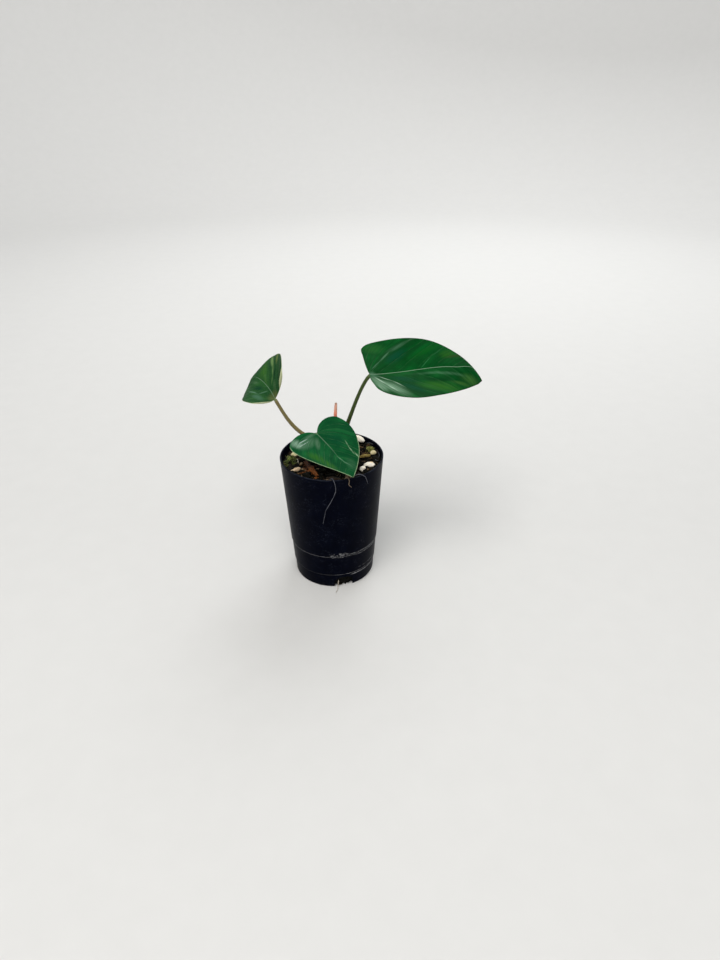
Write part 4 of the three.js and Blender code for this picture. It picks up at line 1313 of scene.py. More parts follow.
def build_bristles(side, line, sizes, material):
    random = np.random.default_rng(len(side))
    forward, sides, ups = path_frames(line)
    count = int(np.linalg.norm(line[-1] - line[0]) / BRISTLE_SPACING)
    hairs = []
    for k in random.uniform(6, len(line) - 8, count).astype(int):
        turn = random.uniform(0, 2 * np.pi)
        out = math.cos(turn) * sides[k] + math.sin(turn) * ups[k] * 0.95
        lean = out + forward[k] * random.uniform(-0.1, 0.5)
        hairs.append(spike(line[k] + out * sizes[k] * 0.94, lean / np.linalg.norm(lean),
                           random.uniform(*BRISTLE_LENGTHS), BRISTLE_RADIUS))
    points, faces, _ = join(hairs)
    numbers = {"along": np.full(len(points), 0.97)}
    make_piece(f"bristles_{side}", points, faces, material, "stalk", numbers=numbers)


for side in STALKS:
    build_bristles(side, *build_stalk(side))

# %% [markdown]
# The newest leaf is still rolled, like a thin cigar: salmon pink, darker at its point, with the
# free edge of the blade running round it as a seam. A section that grows by a step once round,
# and turns on its way up, gives that seam as a real edge. A painted line wouldn't catch light.

# %% Rolled new leaf
NEW_LEAF_PATH = [(2.2, 9.4, 99.6), (2.4, 10, 107), (2.8, 11.2, 118), (3.1, 12.2, 127), (3.6, 13, 133)]
NEW_LEAF_RADII = (1.4, 1.5, 1.38, 1.35, 0.85)


def rolled_section(share):
    turn = np.linspace(0, 1, 44, endpoint=False)
    radius = 1.05 - 0.22 * turn + 0.03 * np.cos(10 * np.pi * turn)
    angles = 2 * np.pi * turn + 4.2 + 5.0 * share
    return np.cos(angles) * radius, np.sin(angles) * radius


def new_leaf_finish():
    """Pink with a little light inside, brownish at the foot and at the point."""
    material, tree, shader = new_material(
        "new_leaf_pink", specular_ior_level=0.45, coat_weight=0.1, subsurface_weight=0.12,
        subsurface_radius=(0.9, 0.35, 0.25), subsurface_scale=MM)
    place, along = surface_mm(tree), number(tree, "along")
    streak = place_group(tree, fibres, place=place, width=0.45, length=8.0)
    colour = layered(
        tree, mix(tree, streak["Bands"], (0.92, 0.25, 0.16), (0.96, 0.36, 0.24)),
        (streak["Fine"], 0.35, (0.72, 0.19, 0.13)),
        (fade(tree, along, 0.3, 0.02), 1.0, (0.42, 0.2, 0.085)),
        (fade(tree, along, 0.72, 0.92), 1.0, (0.72, 0.36, 0.25)),
        (fade(tree, along, 0.95, 0.99), 1.0, (0.34, 0.2, 0.14)))
    roughness = plus(tree, product(tree, streak["Bands"], 0.1), 0.36)
    finish(tree, shader, colour, roughness, product(tree, streak["Fine"], 0.06))
    return material


points, faces, along = sweep(smooth_path(NEW_LEAF_PATH, 90), NEW_LEAF_RADII, rolled_section, rounded=2)
make_piece("rolled_leaf", points, faces, new_leaf_finish(), "new_leaf", "new_leaf",
           numbers={"along": along})

# %% [markdown]
# The stem is a short stump between the stalks, ringed with scars of fallen leaves. The
# stalk's section and finish are used again in browner tones, and the radius gets small steps
# for the scars.

# %% Stem
STEM_PATH = [(0.5, 8, 72), (1, 8.2, 84), (1.6, 8.6, 93), (2, 9, 99)]
STEM_RADII = np.interp(np.linspace(0, 1, 80), np.linspace(0, 1, 4), (2.6, 3.6, 4.1, 2.4))

stem_line = smooth_path(STEM_PATH, 79)
scars = 1 + 0.06 * np.sin(stem_line[:, 2] * 1.9) ** 8 - 0.03 * np.cos(stem_line[:, 2] * 5)
points, faces, along = sweep(stem_line, STEM_RADII * scars, stalk_section, rounded=10)
stem_tones = (0.055, 0.04, 0.02), (0.09, 0.075, 0.03), (0.03, 0.02, 0.01)
stem_material = stalk_finish("stem_green_brown", *stem_tones)
make_piece("stump", points, faces, stem_material, "stalk", "stem", numbers={"along": along * 0.9})

# %% [markdown]
# A thin dry sheath leaf wraps the stem: brown, papery, torn along its upper edge and open in
# front. It is a bent sheet with a real thickness. Cloth simulation could crumple it, but
# little of it is seen.

# %% Dry sheath
SHEATH_PATH = [(2.1, 9.2, 99.4), (2.4, 9.9, 104), (2.9, 10.8, 110), (3.4, 11.8, 116)]
SHEATH_RADII = (2.5, 2.6, 2.4, 2.1)
SHEATH_OPEN, SHEATH_THICK = 70, 0.3


def dry_finish():
    material, tree, shader = new_material("dry_sheath_paper", specular_ior_level=0.25)
    streak = place_group(tree, fibres, place=surface_mm(tree), width=0.35, length=9.0)
    colour = layered(tree, (0.13, 0.065, 0.026), (streak["Bands"], 1.0, (0.27, 0.155, 0.07)),
                     (streak["Fine"], 0.55, (0.07, 0.033, 0.014)))
    finish(tree, shader, colour, 0.78, product(tree, streak["Fine"], 0.16))
    return material


def sheath_skin(inset, angles, torn, rows, steps=60):
    """Rows of points round the stem; torn is how much of the full height each angle has."""
    line = smooth_path(SHEATH_PATH, steps)
    _, sides, ups = path_frames(line)
    grid = []
    for share in np.linspace(0, 1, rows):
        at = share * torn * steps
        low = np.floor(np.clip(at, 0, steps - 1)).astype(int)
        blend = (at - low)[:, None]
        pick = lambda values: values[low] * (1 - blend) + values[low + 1] * blend
        radius = np.interp(at / steps, np.linspace(0, 1, 4), SHEATH_RADII) - inset
        radius = radius * (1 + 0.03 * np.sin(angles * 9 + share * 2))
        out = np.cos(angles)[:, None] * pick(sides) + np.sin(angles)[:, None] * pick(ups)
        grid.append(pick(line) + radius[:, None] * out)
    return np.vstack(grid)


def build_sheath(rows=46, columns=40):
    half = math.radians(180 - SHEATH_OPEN)
    angles = np.linspace(-half, half, columns)
    torn = 1 - 0.16 * np.abs(lumps(np.stack([angles * 3, angles], 1), 0.8, 3)) - 0.12 * (angles / half) ** 2
    skins = [sheath_skin(inset, angles, torn, rows) for inset in (0.0, SHEATH_THICK)]
    count = rows * columns
    faces = []
    for row in range(rows - 1):
        for k in range(columns - 1):
            a = row * columns + k
            b, c, d = a + 1, a + columns + 1, a + columns
            faces += [(a, b, c, d), (d + count, c + count, b + count, a + count)]
    border = list(range(columns)) + [row * columns + columns - 1 for row in range(1, rows)]
    border += [(rows - 1) * columns + k for k in range(columns - 2, -1, -1)]
    border += [row * columns for row in range(rows - 2, 0, -1)]
    faces += [(b, a, a + count, b + count) for a, b in zip(border, border[1:] + border[:1])]
    make_piece("papery_sheath", np.vstack(skins), faces, dry_finish(), "dry_sheath", "sheath")


build_sheath()

# %% [markdown]
# Potting mix is mostly composted bark: dark, crumbly and full of holes. A bumpy sheet alone
# never looks like earth, so it starts from the CAD's own crumb heights, by the same simple
# random numbers, and is then strewn with loose pieces.

# %% Height of the mix
MIX_LEVEL, MIX_SLOPE, MIX_MOUND = 92.6, (0.035, 0.03), 1.2
MIX_RADIUS = inner_radius(MIX_LEVEL)
CRUMB_COUNT, CRUMB_SIZES, CRUMB_HEIGHTS = 120, (2.4, 5.2), (0.5, 2.1)


def seeded(state):
    while True:
        state = (state * 1664525 + 1013904223) % 4294967296
        yield state / 4294967296


def big_crumbs():
    random = seeded(11)
    crumbs = []
    for _ in range(CRUMB_COUNT):
        away, angle = math.sqrt(next(random)) * MIX_RADIUS, next(random) * 2 * math.pi
        sizes = [low + (high - low) * next(random) for low, high in (CRUMB_SIZES, CRUMB_HEIGHTS)]
        crumbs.append((away * math.cos(angle), away * math.sin(angle), *sizes))
    return np.array(crumbs)


CRUMBS = big_crumbs()


def mix_height(x, y):
    x, y = np.asarray(x, float), np.asarray(y, float)
    share = np.hypot(x, y) / MIX_RADIUS
    height = MIX_LEVEL + MIX_SLOPE[0] * x + MIX_SLOPE[1] * y + MIX_MOUND * (1 - share**2)
    bumps = np.zeros(np.shape(x))
    for crumb_x, crumb_y, size, high in CRUMBS:
        bumps = np.maximum(bumps, high * (1 - (np.hypot(x - crumb_x, y - crumb_y) / size) ** 2))
    return height + bumps


print("height of the mix in the middle:", round(float(mix_height(0, 0)), 1), "mm")

# %% [markdown]
# The finish of the mix reads one number per crumb, its tone, and a ramp turns it into a
# colour: mostly nearly black, some reddish brown, a few tan. So one material serves every
# loose piece.

# %% Mix finish
TONE_COLOURS = [
    (0.0, (0.0022, 0.0024, 0.0016)), (0.5, (0.0085, 0.0078, 0.0042)), (0.74, (0.022, 0.014, 0.008)),
    (0.87, (0.07, 0.035, 0.016)), (0.95, (0.16, 0.095, 0.042)), (1.0, (0.32, 0.23, 0.14)),
]


def mix_finish():
    material, tree, shader = new_material("potting_mix_bark", specular_ior_level=0.1)
    place = surface_mm(tree)
    crumbly = place_group(tree, crumble, place=place, coarse=1.4, fine=0.28)
    tone = plus(tree, number(tree, "tone"), fade(tree, crumbly["Tone"], 0.0, 1.0, -0.1, 0.14))
    ramp = add_node(tree, "ValToRGB", {0: tone})
    stops = ramp.color_ramp.elements
    for k, (position, shade) in enumerate(TONE_COLOURS):
        stop = stops[k] if k < 2 else stops.new(position)
        stop.position, stop.color = position, (*shade, 1.0)
    flecks = place_group(tree, specks, place=place, spacing=1.1, size=0.14)["Specks"]
    colour = layered(tree, ramp.outputs[0], (flecks, 0.4, (0.22, 0.17, 0.11)))
    roughness = fade(tree, crumbly["Tone"], 0.0, 1.0, 0.95, 0.7)
    finish(tree, shader, colour, roughness, crumbly["Height"], 0.9)
    return material


mix_material = mix_finish()

# %% [markdown]
# The mix is one closed plug: a round grid on top that follows the crumbs, rough sides and a
# flat bottom. A displaced disc would do for the top, but the sides show in the drainage
# notches.

# %% Mix surface
MIX_SECTORS, MIX_RINGS, MIX_BOTTOM, MIX_SUNK = 300, 110, 2.0, 1.1
SIDE_HEIGHTS = (88, 60, 30, 14, 9, 7, 5, 3.4, MIX_BOTTOM)


def mix_points():
    """Rings of the top from the middle outwards, then rings down the side."""
    turns = round_angles(MIX_SECTORS)
    shares = (np.arange(1, MIX_RINGS + 1) / MIX_RINGS) ** 0.9
    radius = np.repeat(shares * (inner_radius(MIX_LEVEL + 1) - 0.2), MIX_SECTORS)
    x, y = radius * np.tile(np.cos(turns), MIX_RINGS), radius * np.tile(np.sin(turns), MIX_RINGS)
    flat = np.stack([x, y], 1)
    relief = 1.1 * lumps(flat, 3.4, 4) + 0.6 * lumps(flat, 1.3, 5) + 0.25 * lumps(flat, 0.6, 6)
    rows = [np.stack([x, y, mix_height(x, y) - MIX_SUNK + relief], 1)]
    for height in SIDE_HEIGHTS:
        side_radius = inner_radius(height) - 0.25
        ring = np.stack([np.cos(turns), np.sin(turns)], 1) * side_radius
        level = np.full(MIX_SECTORS, height)
        rough = 0.35 * lumps(np.c_[ring, level], 1.6, 7)
        rows.append(np.c_[ring * (1 - np.abs(rough[:, None]) / side_radius), level])
    return np.vstack(rows + [[[0, 0, mix_height(0, 0) - MIX_SUNK]], [[0, 0, MIX_BOTTOM]]])


def build_mix():
    points = mix_points()
    ring_count = MIX_RINGS + len(SIDE_HEIGHTS)
    faces = [face[::-1] for face in grid_faces(ring_count, MIX_SECTORS)]
    centre, bottom, last = len(points) - 2, len(points) - 1, (ring_count - 1) * MIX_SECTORS
    for k in range(MIX_SECTORS):
        turn = (k + 1) % MIX_SECTORS
        faces += [(centre, k, turn), (bottom, last + turn, last + k)]
    tone = 0.22 + 0.26 * lumps(points, 2.5, 9) + 0.12 * lumps(points, 0.8, 10)
    # Low on the sides, where the mix shows through the notches, the tone is darker: painted shade in the
    # notches.
    tone = tone - 0.3 * smooth_step(-points[:, 2], -13, -7)
    make_piece("mix_surface", points, faces, mix_material, "potting_mix", "potting_mix",
               numbers={"tone": tone})


build_mix()

# %% [markdown]
# Loose crumbs keep off the larger grains and chips, which have pieces of their own. Seen from
# above, a grain is about an oval: its long direction comes from the spread of its corners.

# %% Places for loose pieces
GRAIN_KINDS = ("perlite", "pebble", "chip", "bark")
GRAIN_NODES = [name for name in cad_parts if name.split("_")[0] in GRAIN_KINDS]


def grain_oval(name):
    """Middle, long and short direction, and half sizes of a grain seen from above."""
    points = np.array([corner.co[:2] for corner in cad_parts[name].data.vertices]) / MM
    middle = points.mean(0)
    axes = np.linalg.svd(points - middle)[2]
    return middle, axes, np.abs((points - middle) @ axes.T).max(0)


GRAIN_OVALS = [grain_oval(name) for name in GRAIN_NODES]


def free_of_grains(x, y, margin=0.5):
    for middle, axes, half in GRAIN_OVALS:
        if np.linalg.norm(axes @ (np.array([x, y]) - middle) / (half + margin)) < 1:
            return False
    return True


print("grains to keep free:", len(GRAIN_NODES))

# %% [markdown]
# A loose crumb starts as a ball of triangles, finer for larger crumbs. Blender can add such
# an icosphere itself, but here only its points and faces are needed, many hundred times.

# %% A ball of triangles
def ball(detail):
    """Unit ball of triangles."""
    golden = (1 + 5**0.5) / 2
    corners = [
        (-1, golden, 0), (1, golden, 0), (-1, -golden, 0), (1, -golden, 0),
        (0, -1, golden), (0, 1, golden), (0, -1, -golden), (0, 1, -golden),
        (golden, 0, -1), (golden, 0, 1), (-golden, 0, -1), (-golden, 0, 1),
    ]
    faces = [(0, 11, 5), (0, 5, 1), (0, 1, 7), (0, 7, 10), (0, 10, 11), (1, 5, 9), (5, 11, 4), (11, 10, 2),
             (10, 7, 6), (7, 1, 8), (3, 9, 4), (3, 4, 2), (3, 2, 6), (3, 6, 8), (3, 8, 9), (4, 9, 5),
             (2, 4, 11), (6, 2, 10), (8, 6, 7), (9, 8, 1)]
    points = [Vector(corner).normalized() for corner in corners]
    for _ in range(detail):
        middles, finer = {}, []
        for a, b, c in faces:
            cut = []
            for pair in ((a, b), (b, c), (c, a)):
                key = tuple(sorted(pair))
                if key not in middles:
                    middles[key] = len(points)
                    points.append(((points[key[0]] + points[key[1]]) / 2).normalized())
                cut.append(middles[key])
            finer += [(a, cut[0], cut[2]), (b, cut[1], cut[0]), (c, cut[2], cut[1]), tuple(cut)]
        faces = finer
    return np.array(points), faces


BALLS = [ball(detail) for detail in range(3)]
print("triangles of the balls:", [len(faces) for _, faces in BALLS])

# %% [markdown]
# Three kinds of loose bits make the mix: crumbs with corners pushed in and out, long blocky
# slivers of bark, and thin bent fibres. Physics could drop them, but it would take minutes
# and look the same.

# %% Crumbs, slivers and fibres
def turned_at_random(random, points, tilt):
    spin, lean, way = random.uniform(0, 2 * np.pi), random.normal(0, tilt), random.uniform(0, 2 * np.pi)
    lean_axis = Vector((math.cos(way), math.sin(way), 0))
    turn = Matrix.Rotation(lean, 3, lean_axis) @ Matrix.Rotation(spin, 3, "Z")
    return points @ np.array(turn).T


def crumb_shape(random):
    size = min(0.4 + random.exponential(0.5), 2.3)
    shape, faces = BALLS[0 if size < 0.75 else 1 if size < 1.4 else 2]
    blocky = np.sign(shape) * np.abs(shape) ** 0.8
    knobby = blocky * (1 + 0.3 * lumps(blocky * 10, 8, int(random.integers(1000))))[:, None]
    squash = random.uniform((0.8, 0.6, 0.4), (1.4, 1.0, 0.8))
    return turned_at_random(random, knobby * squash * size, 0.5), faces, size * random.uniform(0.1, 0.6)


def sliver_shape(random):
    shape, faces = BALLS[2]
    length = random.uniform(1.4, 4.2)
    half = np.array([length, random.uniform(0.35, 0.8), random.uniform(0.2, 0.45)])
    blocky = np.sign(shape) * np.abs(shape) ** 0.6
    rough = blocky * (1 + 0.18 * lumps(blocky * 10 * [0.3, 1, 1], 4, int(random.integers(1000))))[:, None]
    return turned_at_random(random, rough * half, 0.3), faces, random.uniform(0.2, 0.9)


def fibre_shape(random):
    length, steps = random.uniform(4, 13), 12
    along = np.linspace(-0.5, 0.5, 6) * length
    sway, rise = np.cumsum(random.normal(0, 0.5, 6)), np.abs(random.normal(0, 0.35, 6))
    curve = np.stack([along, sway, 0.25 + rise], 1)
    line = smooth_path(turned_at_random(random, curve, 0.08), steps)
    points, faces, _ = sweep(line, (0.05, 0.11, 0.09, 0.04), round_section(5))
    return points, faces, 0.7


print("corners of a crumb:", len(crumb_shape(np.random.default_rng(1))[0]))

# %% [markdown]
# The bits are strewn evenly, clear of the larger grains, and drawn again where one would poke
# through the wall. Geometry nodes could scatter copies, but the export wants plain meshes, so
# all bits of a kind are joined, each with its own tone.

# %% Scattering
BIT_SUNK, WALL_CLEAR = 0.7, 0.3


def scatter_place(random):
    while True:
        away = math.sqrt(random.uniform(0, 1)) * (MIX_RADIUS - 0.8)
        angle = random.uniform(0, 2 * np.pi)
        x, y = away * math.cos(angle), away * math.sin(angle)
        if free_of_grains(x, y):
            return x, y


def scatter(name, count, make, seed, tones):
    random = np.random.default_rng(seed)
    parts, tone = [], []
    for _ in range(count):
        reach = np.inf
        while reach > MIX_RADIUS - WALL_CLEAR:
            x, y = scatter_place(random)
            points, faces, lift = make(random)
            reach = np.hypot(points[:, 0] + x, points[:, 1] + y).max()
        parts.append((points + [x, y, float(mix_height(x, y)) - BIT_SUNK + lift], faces))
        tone.append(tones(random))
    piece = make_joined(name, parts, mix_material, "potting_mix", tones=tone)
    piece.data.set_sharp_from_angle(angle=math.radians(42))


scatter("mix_crumbs", 1450, crumb_shape, 21,
        lambda r: r.beta(1.3, 4.2) if r.random() < 0.92 else r.uniform(0.8, 1.0))
scatter("mix_slivers", 110, sliver_shape, 22, lambda r: r.uniform(0.3, 0.98))
scatter("mix_fibres", 90, fibre_shape, 23, lambda r: r.uniform(0.5, 0.97))

# %% [markdown]
# Through a drainage notch the mix shows as crumbs and pale bits of root, so a handful of the
# same bits fills each notch. They are held inside the wall and above the ground.

# %% Bits in the drainage notches
NOTCH_BITS, NOTCH_LIMIT, NOTCH_LOWEST = 44, 29.6, 0.1


def notch_bit(random, angle, k):
    """Every fourth bit is a fibre; odd ones lie higher up."""
    points, faces, _ = (fibre_shape if k % 4 == 3 else crumb_shape)(random)
    turn = math.radians(angle + random.uniform(-9, 9))
    reach = random.uniform(26.4, 28.6)
    height = random.uniform(0.5, 7.6) if k % 2 else random.uniform(0.6, 1.8)
    centre = [reach * math.cos(turn), reach * math.sin(turn), height]
    points = points * (0.35 if k % 4 == 3 else 0.75) + centre
    points[:, :2] *= np.minimum(1, NOTCH_LIMIT / np.hypot(points[:, 0], points[:, 1]))[:, None]
    points[:, 2] = np.maximum(points[:, 2], NOTCH_LOWEST)
    return points, faces


def build_notch_bits():
    random = np.random.default_rng(24)
    parts, tone = [], []
    for angle in NOTCH_ANGLES:
        for k in range(NOTCH_BITS):
            parts.append(notch_bit(random, angle, k))
            tone.append(random.uniform(0.86, 1.0) if k % 8 == 3 else random.uniform(0.0, 0.8))
    make_joined("notch_bits", parts, mix_material, "potting_mix", tones=tone)


build_notch_bits()

# %% [markdown]
# The larger grains keep the place and size of their CAD solids: a copy is rebuilt with small
# even faces by a voxel remesh, smoothed, and roughened later. Modelling each again would need
# a second list of places.

# %% Fine copies of the CAD grains
def fine_copy(node, voxel=0.22, softening=2):
    """Points in mm, normals and faces of a CAD solid after a voxel remesh."""
    helper = new_object("helper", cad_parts[node].data.copy())
    remesh = helper.modifiers.new("even", "REMESH")
    remesh.mode, remesh.voxel_size = "VOXEL", voxel * MM
    soften = helper.modifiers.new("soften", "SMOOTH")
    soften.iterations = softening
    mesh = evaluated(helper)
    points = np.empty(len(mesh.vertices) * 3)
    mesh.vertices.foreach_get("co", points)
    normals = np.empty(len(mesh.vertices) * 3)
    mesh.vertex_normals.foreach_get("vector", normals)
    faces = [tuple(face.vertices) for face in mesh.polygons]
    bpy.data.objects.remove(helper)
    return points.reshape(-1, 3) / MM, normals.reshape(-1, 3), faces


def turned_flat(points, degrees):
    """Points turned about Z so that a chip's long side lies along X."""
    turn = math.radians(-degrees)
    x, y, z = points.T
    return np.stack([x * math.cos(turn) - y * math.sin(turn),
                     x * math.sin(turn) + y * math.cos(turn), z], 1)


print("solids to copy:", GRAIN_NODES)

# %% [markdown]
# Perlite is chalk white and crumbly, and cream and beige chips are harder. All are lumps in two tones with
# a few flecks, darker towards the bottom where they sit in the mix, so one function serves them with tones
# of their own.

# %% Finish of stones and perlite
GRAIN_FLECK, DARKER_BELOW, STAIN = (0.05, 0.04, 0.03), (0.03, 0.02, 0.012), (0.85, 0.5, 0.16)


def grain_finish(name, dark, light, coarse, fine, roughness, fleck_share=0.3, stain=None):
    material, tree, shader = new_material(name, specular_ior_level=0.25)
    place = surface_mm(tree)
    crumbly = place_group(tree, crumble, place=place, coarse=coarse, fine=fine)
    flecks = place_group(tree, specks, place=place, spacing=0.9, size=0.2)["Specks"]
    # Each grain is darker towards its bottom, where it sits in the mix.
    colour = layered(tree, dark, (crumbly["Tone"], 1.0, light), (flecks, fleck_share, GRAIN_FLECK),
                     (fade(tree, number(tree, "high"), 0.34, 0.05), 0.7, DARKER_BELOW))
    if stain:
        spot = place_group(
            tree, soft_patch, place=place, centre=stain, half=(2.2, 1.5, 1.8), turn=(0.0, 0.0, 0.0))
        colour = layered(tree, colour, (spot["Mask"], 0.8, STAIN))
    finish(tree, shader, colour, roughness, crumbly["Height"], 0.8)
    return material


perlite = grain_finish(
    "perlite_white", (0.95, 0.84, 0.66), (0.99, 0.96, 0.88), 0.9, 0.2, 0.9, 0.05, (28.8, -9.0, 96.8))
cream = grain_finish("cream_stone", (0.46, 0.4, 0.2), (0.8, 0.7, 0.44), 1.2, 0.25, 0.85)
beige = grain_finish("beige_chip", (0.4, 0.28, 0.16), (0.76, 0.59, 0.4), 1.2, 0.25, 0.85)

# %% [markdown]
# Bark chips have fibres that run along them, and some change colour at one end. A wood
# texture would give rings; here the place is turned, so that the fibres follow each chip's
# own direction.

# %% Finish of bark
# Dark tone, light tone, and for one end: its tone and where it starts and is full, in mm.
BARK_TONES = {
    "brown": ((0.016, 0.009, 0.005), (0.07, 0.036, 0.018), None),
    "rust": ((0.02, 0.008, 0.004), (0.26, 0.08, 0.022), ((0.62, 0.19, 0.035), 3.0, 12.0)),
    "olive": ((0.16, 0.09, 0.02), (0.6, 0.48, 0.13), ((0.09, 0.03, 0.012), 22.5, 19.5)),
}


def bark_finish(name, dark, light, end, degrees):
    material, tree, shader = new_material(name, specular_ior_level=0.3)
    place = surface_mm(tree)
    turn, tilt = (0.0, 0.0, math.radians(-degrees)), (0.0, math.radians(-90), 0.0)
    lying = add_node(tree, "Mapping", {"Vector": place, "Rotation": turn}).outputs[0]
    upright = add_node(tree, "Mapping", {"Vector": lying, "Rotation": tilt}).outputs[0]
    streak = place_group(tree, fibres, place=upright, width=0.35, length=4.0)
    crumbly = place_group(tree, crumble, place=place, coarse=1.2, fine=0.3)
    colour = layered(tree, dark, (streak["Bands"], 1.0, light), (streak["Fine"], 0.5, dark))
    if end:
        end_tone, *limits = end
        far = add_node(tree, "SeparateXYZ", {0: lying}).outputs[0]
        at_end = product(tree, fade(tree, far, *limits), crumbly["Tone"])
        colour = layered(tree, colour, (at_end, 1.0, end_tone))
    colour = layered(tree, colour, (crumbly["Tone"], 0.3, (0.012, 0.008, 0.005)))
    height = plus(tree, product(tree, streak["Fine"], 0.22), crumbly["Height"])
    finish(tree, shader, colour, 0.85, height, 0.8)
    return material


print("kinds of bark:", list(BARK_TONES))

# %% [markdown]
# Now the grains are roughened: perlite and stones with round lumps and pits, bark with ridges
# along its fibres. Two of them taper, because they lie tilted. A displace modifier can't tell
# the long side of a chip.

# %% Larger grains and chips
# Look, slot and the direction of the long side in degrees.
GRAINS = {
    "perlite_right_oval": (perlite, "perlite", 0), "perlite_right_round": (perlite, "perlite", 0),
    "perlite_back": (perlite, "perlite", 0), "pebble_right_cream": (cream, "cream_chip", 0),
    "chip_left_beige": (beige, "cream_chip", 24), "chip_left_cream": (cream, "cream_chip", -20),
    "bark_right": ("olive", "brown_bark", 12), "bark_front": ("brown", "brown_bark", -16),
    "bark_back": ("brown", "brown_bark", 30), "bark_back_right": ("brown", "brown_bark", -10),
    "bark_strip": ("rust", "rust_bark", -64),
}
# Share of the height that is lost towards +X, or towards -X if below zero.
TAPERS = {"perlite_back": 0.5, "chip_left_beige": -0.25}


def push_of(look, lying, seed):
    """How far each point is pushed out, in mm."""
    if look not in BARK_TONES:
        return (0.3 * lumps(lying, 1.7, seed) + 0.12 * lumps(lying, 0.7, seed + 1)
                - 0.14 * lumps(lying, 0.45, seed + 2) ** 2)
    push = 0.4 * lumps(lying, (5, 0.8, 0.8), seed) + 0.45 * lumps(lying, (1.8, 1.3, 1.3), seed + 1)
    if look == "rust":
        push -= 0.9 * np.clip(lumps(lying, (3.5, 1.8, 1.5), seed + 2) - 0.1, 0, 1)
    return push


def build_grain(seed, node, look, slot, degrees):
    is_bark = look in BARK_TONES
    points, normals, faces = fine_copy(node, softening=2 if is_bark else 25)
    material = bark_finish(f"{node}_{look}", *BARK_TONES[look], degrees) if is_bark else look
    low, high = points.min(0), points.max(0)
    share = (points - low) / (high - low)
    rough = points + normals * push_of(look, turned_flat(points, degrees), seed)[:, None]
    rough[:, 2] -= (rough[:, 2] - low[2]) * TAPERS.get(node, 0) * share[:, 0]
    make_piece(f"{node}_rough", rough, faces, material, slot, node, numbers={"high": share[:, 2]})


for k, (node, (look, slot, degrees)) in enumerate(GRAINS.items()):
    build_grain(60 + 3 * k, node, look, slot, degrees)

# %% [markdown]
# Small shards lie beside the torn strip: slivers again, strewn round its oval. Without them
# the strip would look laid on top.

# %% Bark flakes
FLAKE_COUNT, FLAKE_REACH = 34, 32


def build_bark_flakes():
    random = np.random.default_rng(77)
    middle, axes, half = grain_oval("bark_strip")
    parts = []
    for _ in range(FLAKE_COUNT):
        points, faces, lift = sliver_shape(random)
        x, y = middle + np.array([random.uniform(-0.95, 0.95), random.normal(0, 1.1)]) * half @ axes
        x, y = np.array([x, y]) * min(1, FLAKE_REACH / math.hypot(x, y))
        height = float(mix_height(x, y)) + 0.3 + lift * 0.5
        parts.append((points * random.uniform(0.35, 0.8) + [x, y, height], faces))
    material = bark_finish("bark_flakes_rust", *BARK_TONES["rust"], GRAINS["bark_strip"][2])
    make_joined("bark_flakes", parts, material, "rust_bark")


build_bark_flakes()

# %% [markdown]
# Moss grows as many small pointed leaves that lean outwards. A fuzzy texture on a lump looks
# like felt, so each leaf is a curved, tapering closed blade of its own.

# %% Moss leaf and finish
def moss_finish(name, dark, light):
    material, tree, shader = new_material(name, specular_ior_level=0.3)
    grain = noise(tree, surface_mm(tree), 1.4, 3.0)
    tone = plus(tree, number(tree, "tone"), product(tree, grain, 0.3))
    colour = mix(tree, fade(tree, tone, 0.1, 1.1), dark, light)
    finish(tree, shader, colour, 0.6, product(tree, grain, 0.1))
    return material


def moss_leaf(root, direction, length, width, droop):
    steps = 6
    share = np.linspace(0, 1, steps)[:, None]
    line = root + direction * length * share - np.array([0, 0, 1]) * droop * length * share**2
    broad = np.sin(np.pi * (0.15 + 0.8 * share[:, 0])) * width
    side = np.cross(direction, [0.05, 0.02, 1.0])
    side /= np.linalg.norm(side)
    keel = np.cross(side, direction)
    rings = [place + np.outer([1, 0, -1, 0], side * size) + np.outer([0, 0.35, 0, -0.5], keel * size)
             for place, size in zip(line, broad)]
    points = np.vstack(rings)
    faces = grid_faces(steps, 4) + [(3, 2, 1, 0), tuple(4 * (steps - 1) + k for k in range(4))]
    return points, faces


print("faces of a moss leaf:", len(moss_leaf(np.zeros(3), np.array([1.0, 0, 0]), 2, 0.3, 0.2)[1]))

# %% [markdown]
# Hundreds of leaves, laid over the two CAD cushions, make tufts that look right close up too.
# The left tuft is loose and yellow green, the right one dense and olive.

# %% Moss tufts
def build_moss(node, count, material, seed, lengths, slim, shift=(0, 0), spread=(1, 1)):
    """Moss leaves over the CAD cushion, which shift (mm) and spread (times) may carry further."""
    random = np.random.default_rng(seed)
    low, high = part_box(node)
    middle, half = np.array((low + high) / 2 / MM), np.array((high - low) / 2 / MM)
    blades, tones = [], []
    while len(blades) < count:
        angle, away = random.uniform(0, 2 * np.pi), math.sqrt(random.uniform(0, 1))
        out = np.array([math.cos(angle) * away, math.sin(angle) * away, 0.0])
        root = middle + out * half * [*spread, 1] + [*shift, 0]
        x, y = root[:2]
        if math.hypot(x, y) > MIX_RADIUS - 0.6 or not free_of_grains(x, y, 0.0):
            continue
        root[2] = mix_height(x, y) + half[2] * (1 - away**2) * random.uniform(0.0, 1.0)
        direction = out * 0.9 + random.normal(0, 0.45, 3) + [0, 0, random.uniform(0.2, 1.0)]
        direction /= np.linalg.norm(direction)
        size = random.uniform(*lengths)
        width = size * random.uniform(0.6, 1.0) * slim
        blade = moss_leaf(root, direction, size, width, random.uniform(0, 0.6))
        if np.hypot(*blade[0].T[:2]).max() < MIX_RADIUS - 0.2:
            blades.append(blade)
            tones.append(random.uniform(0, 1) ** 1.5)
    make_joined(f"{node}_leaves", blades, material, "moss", node, tones=tones)


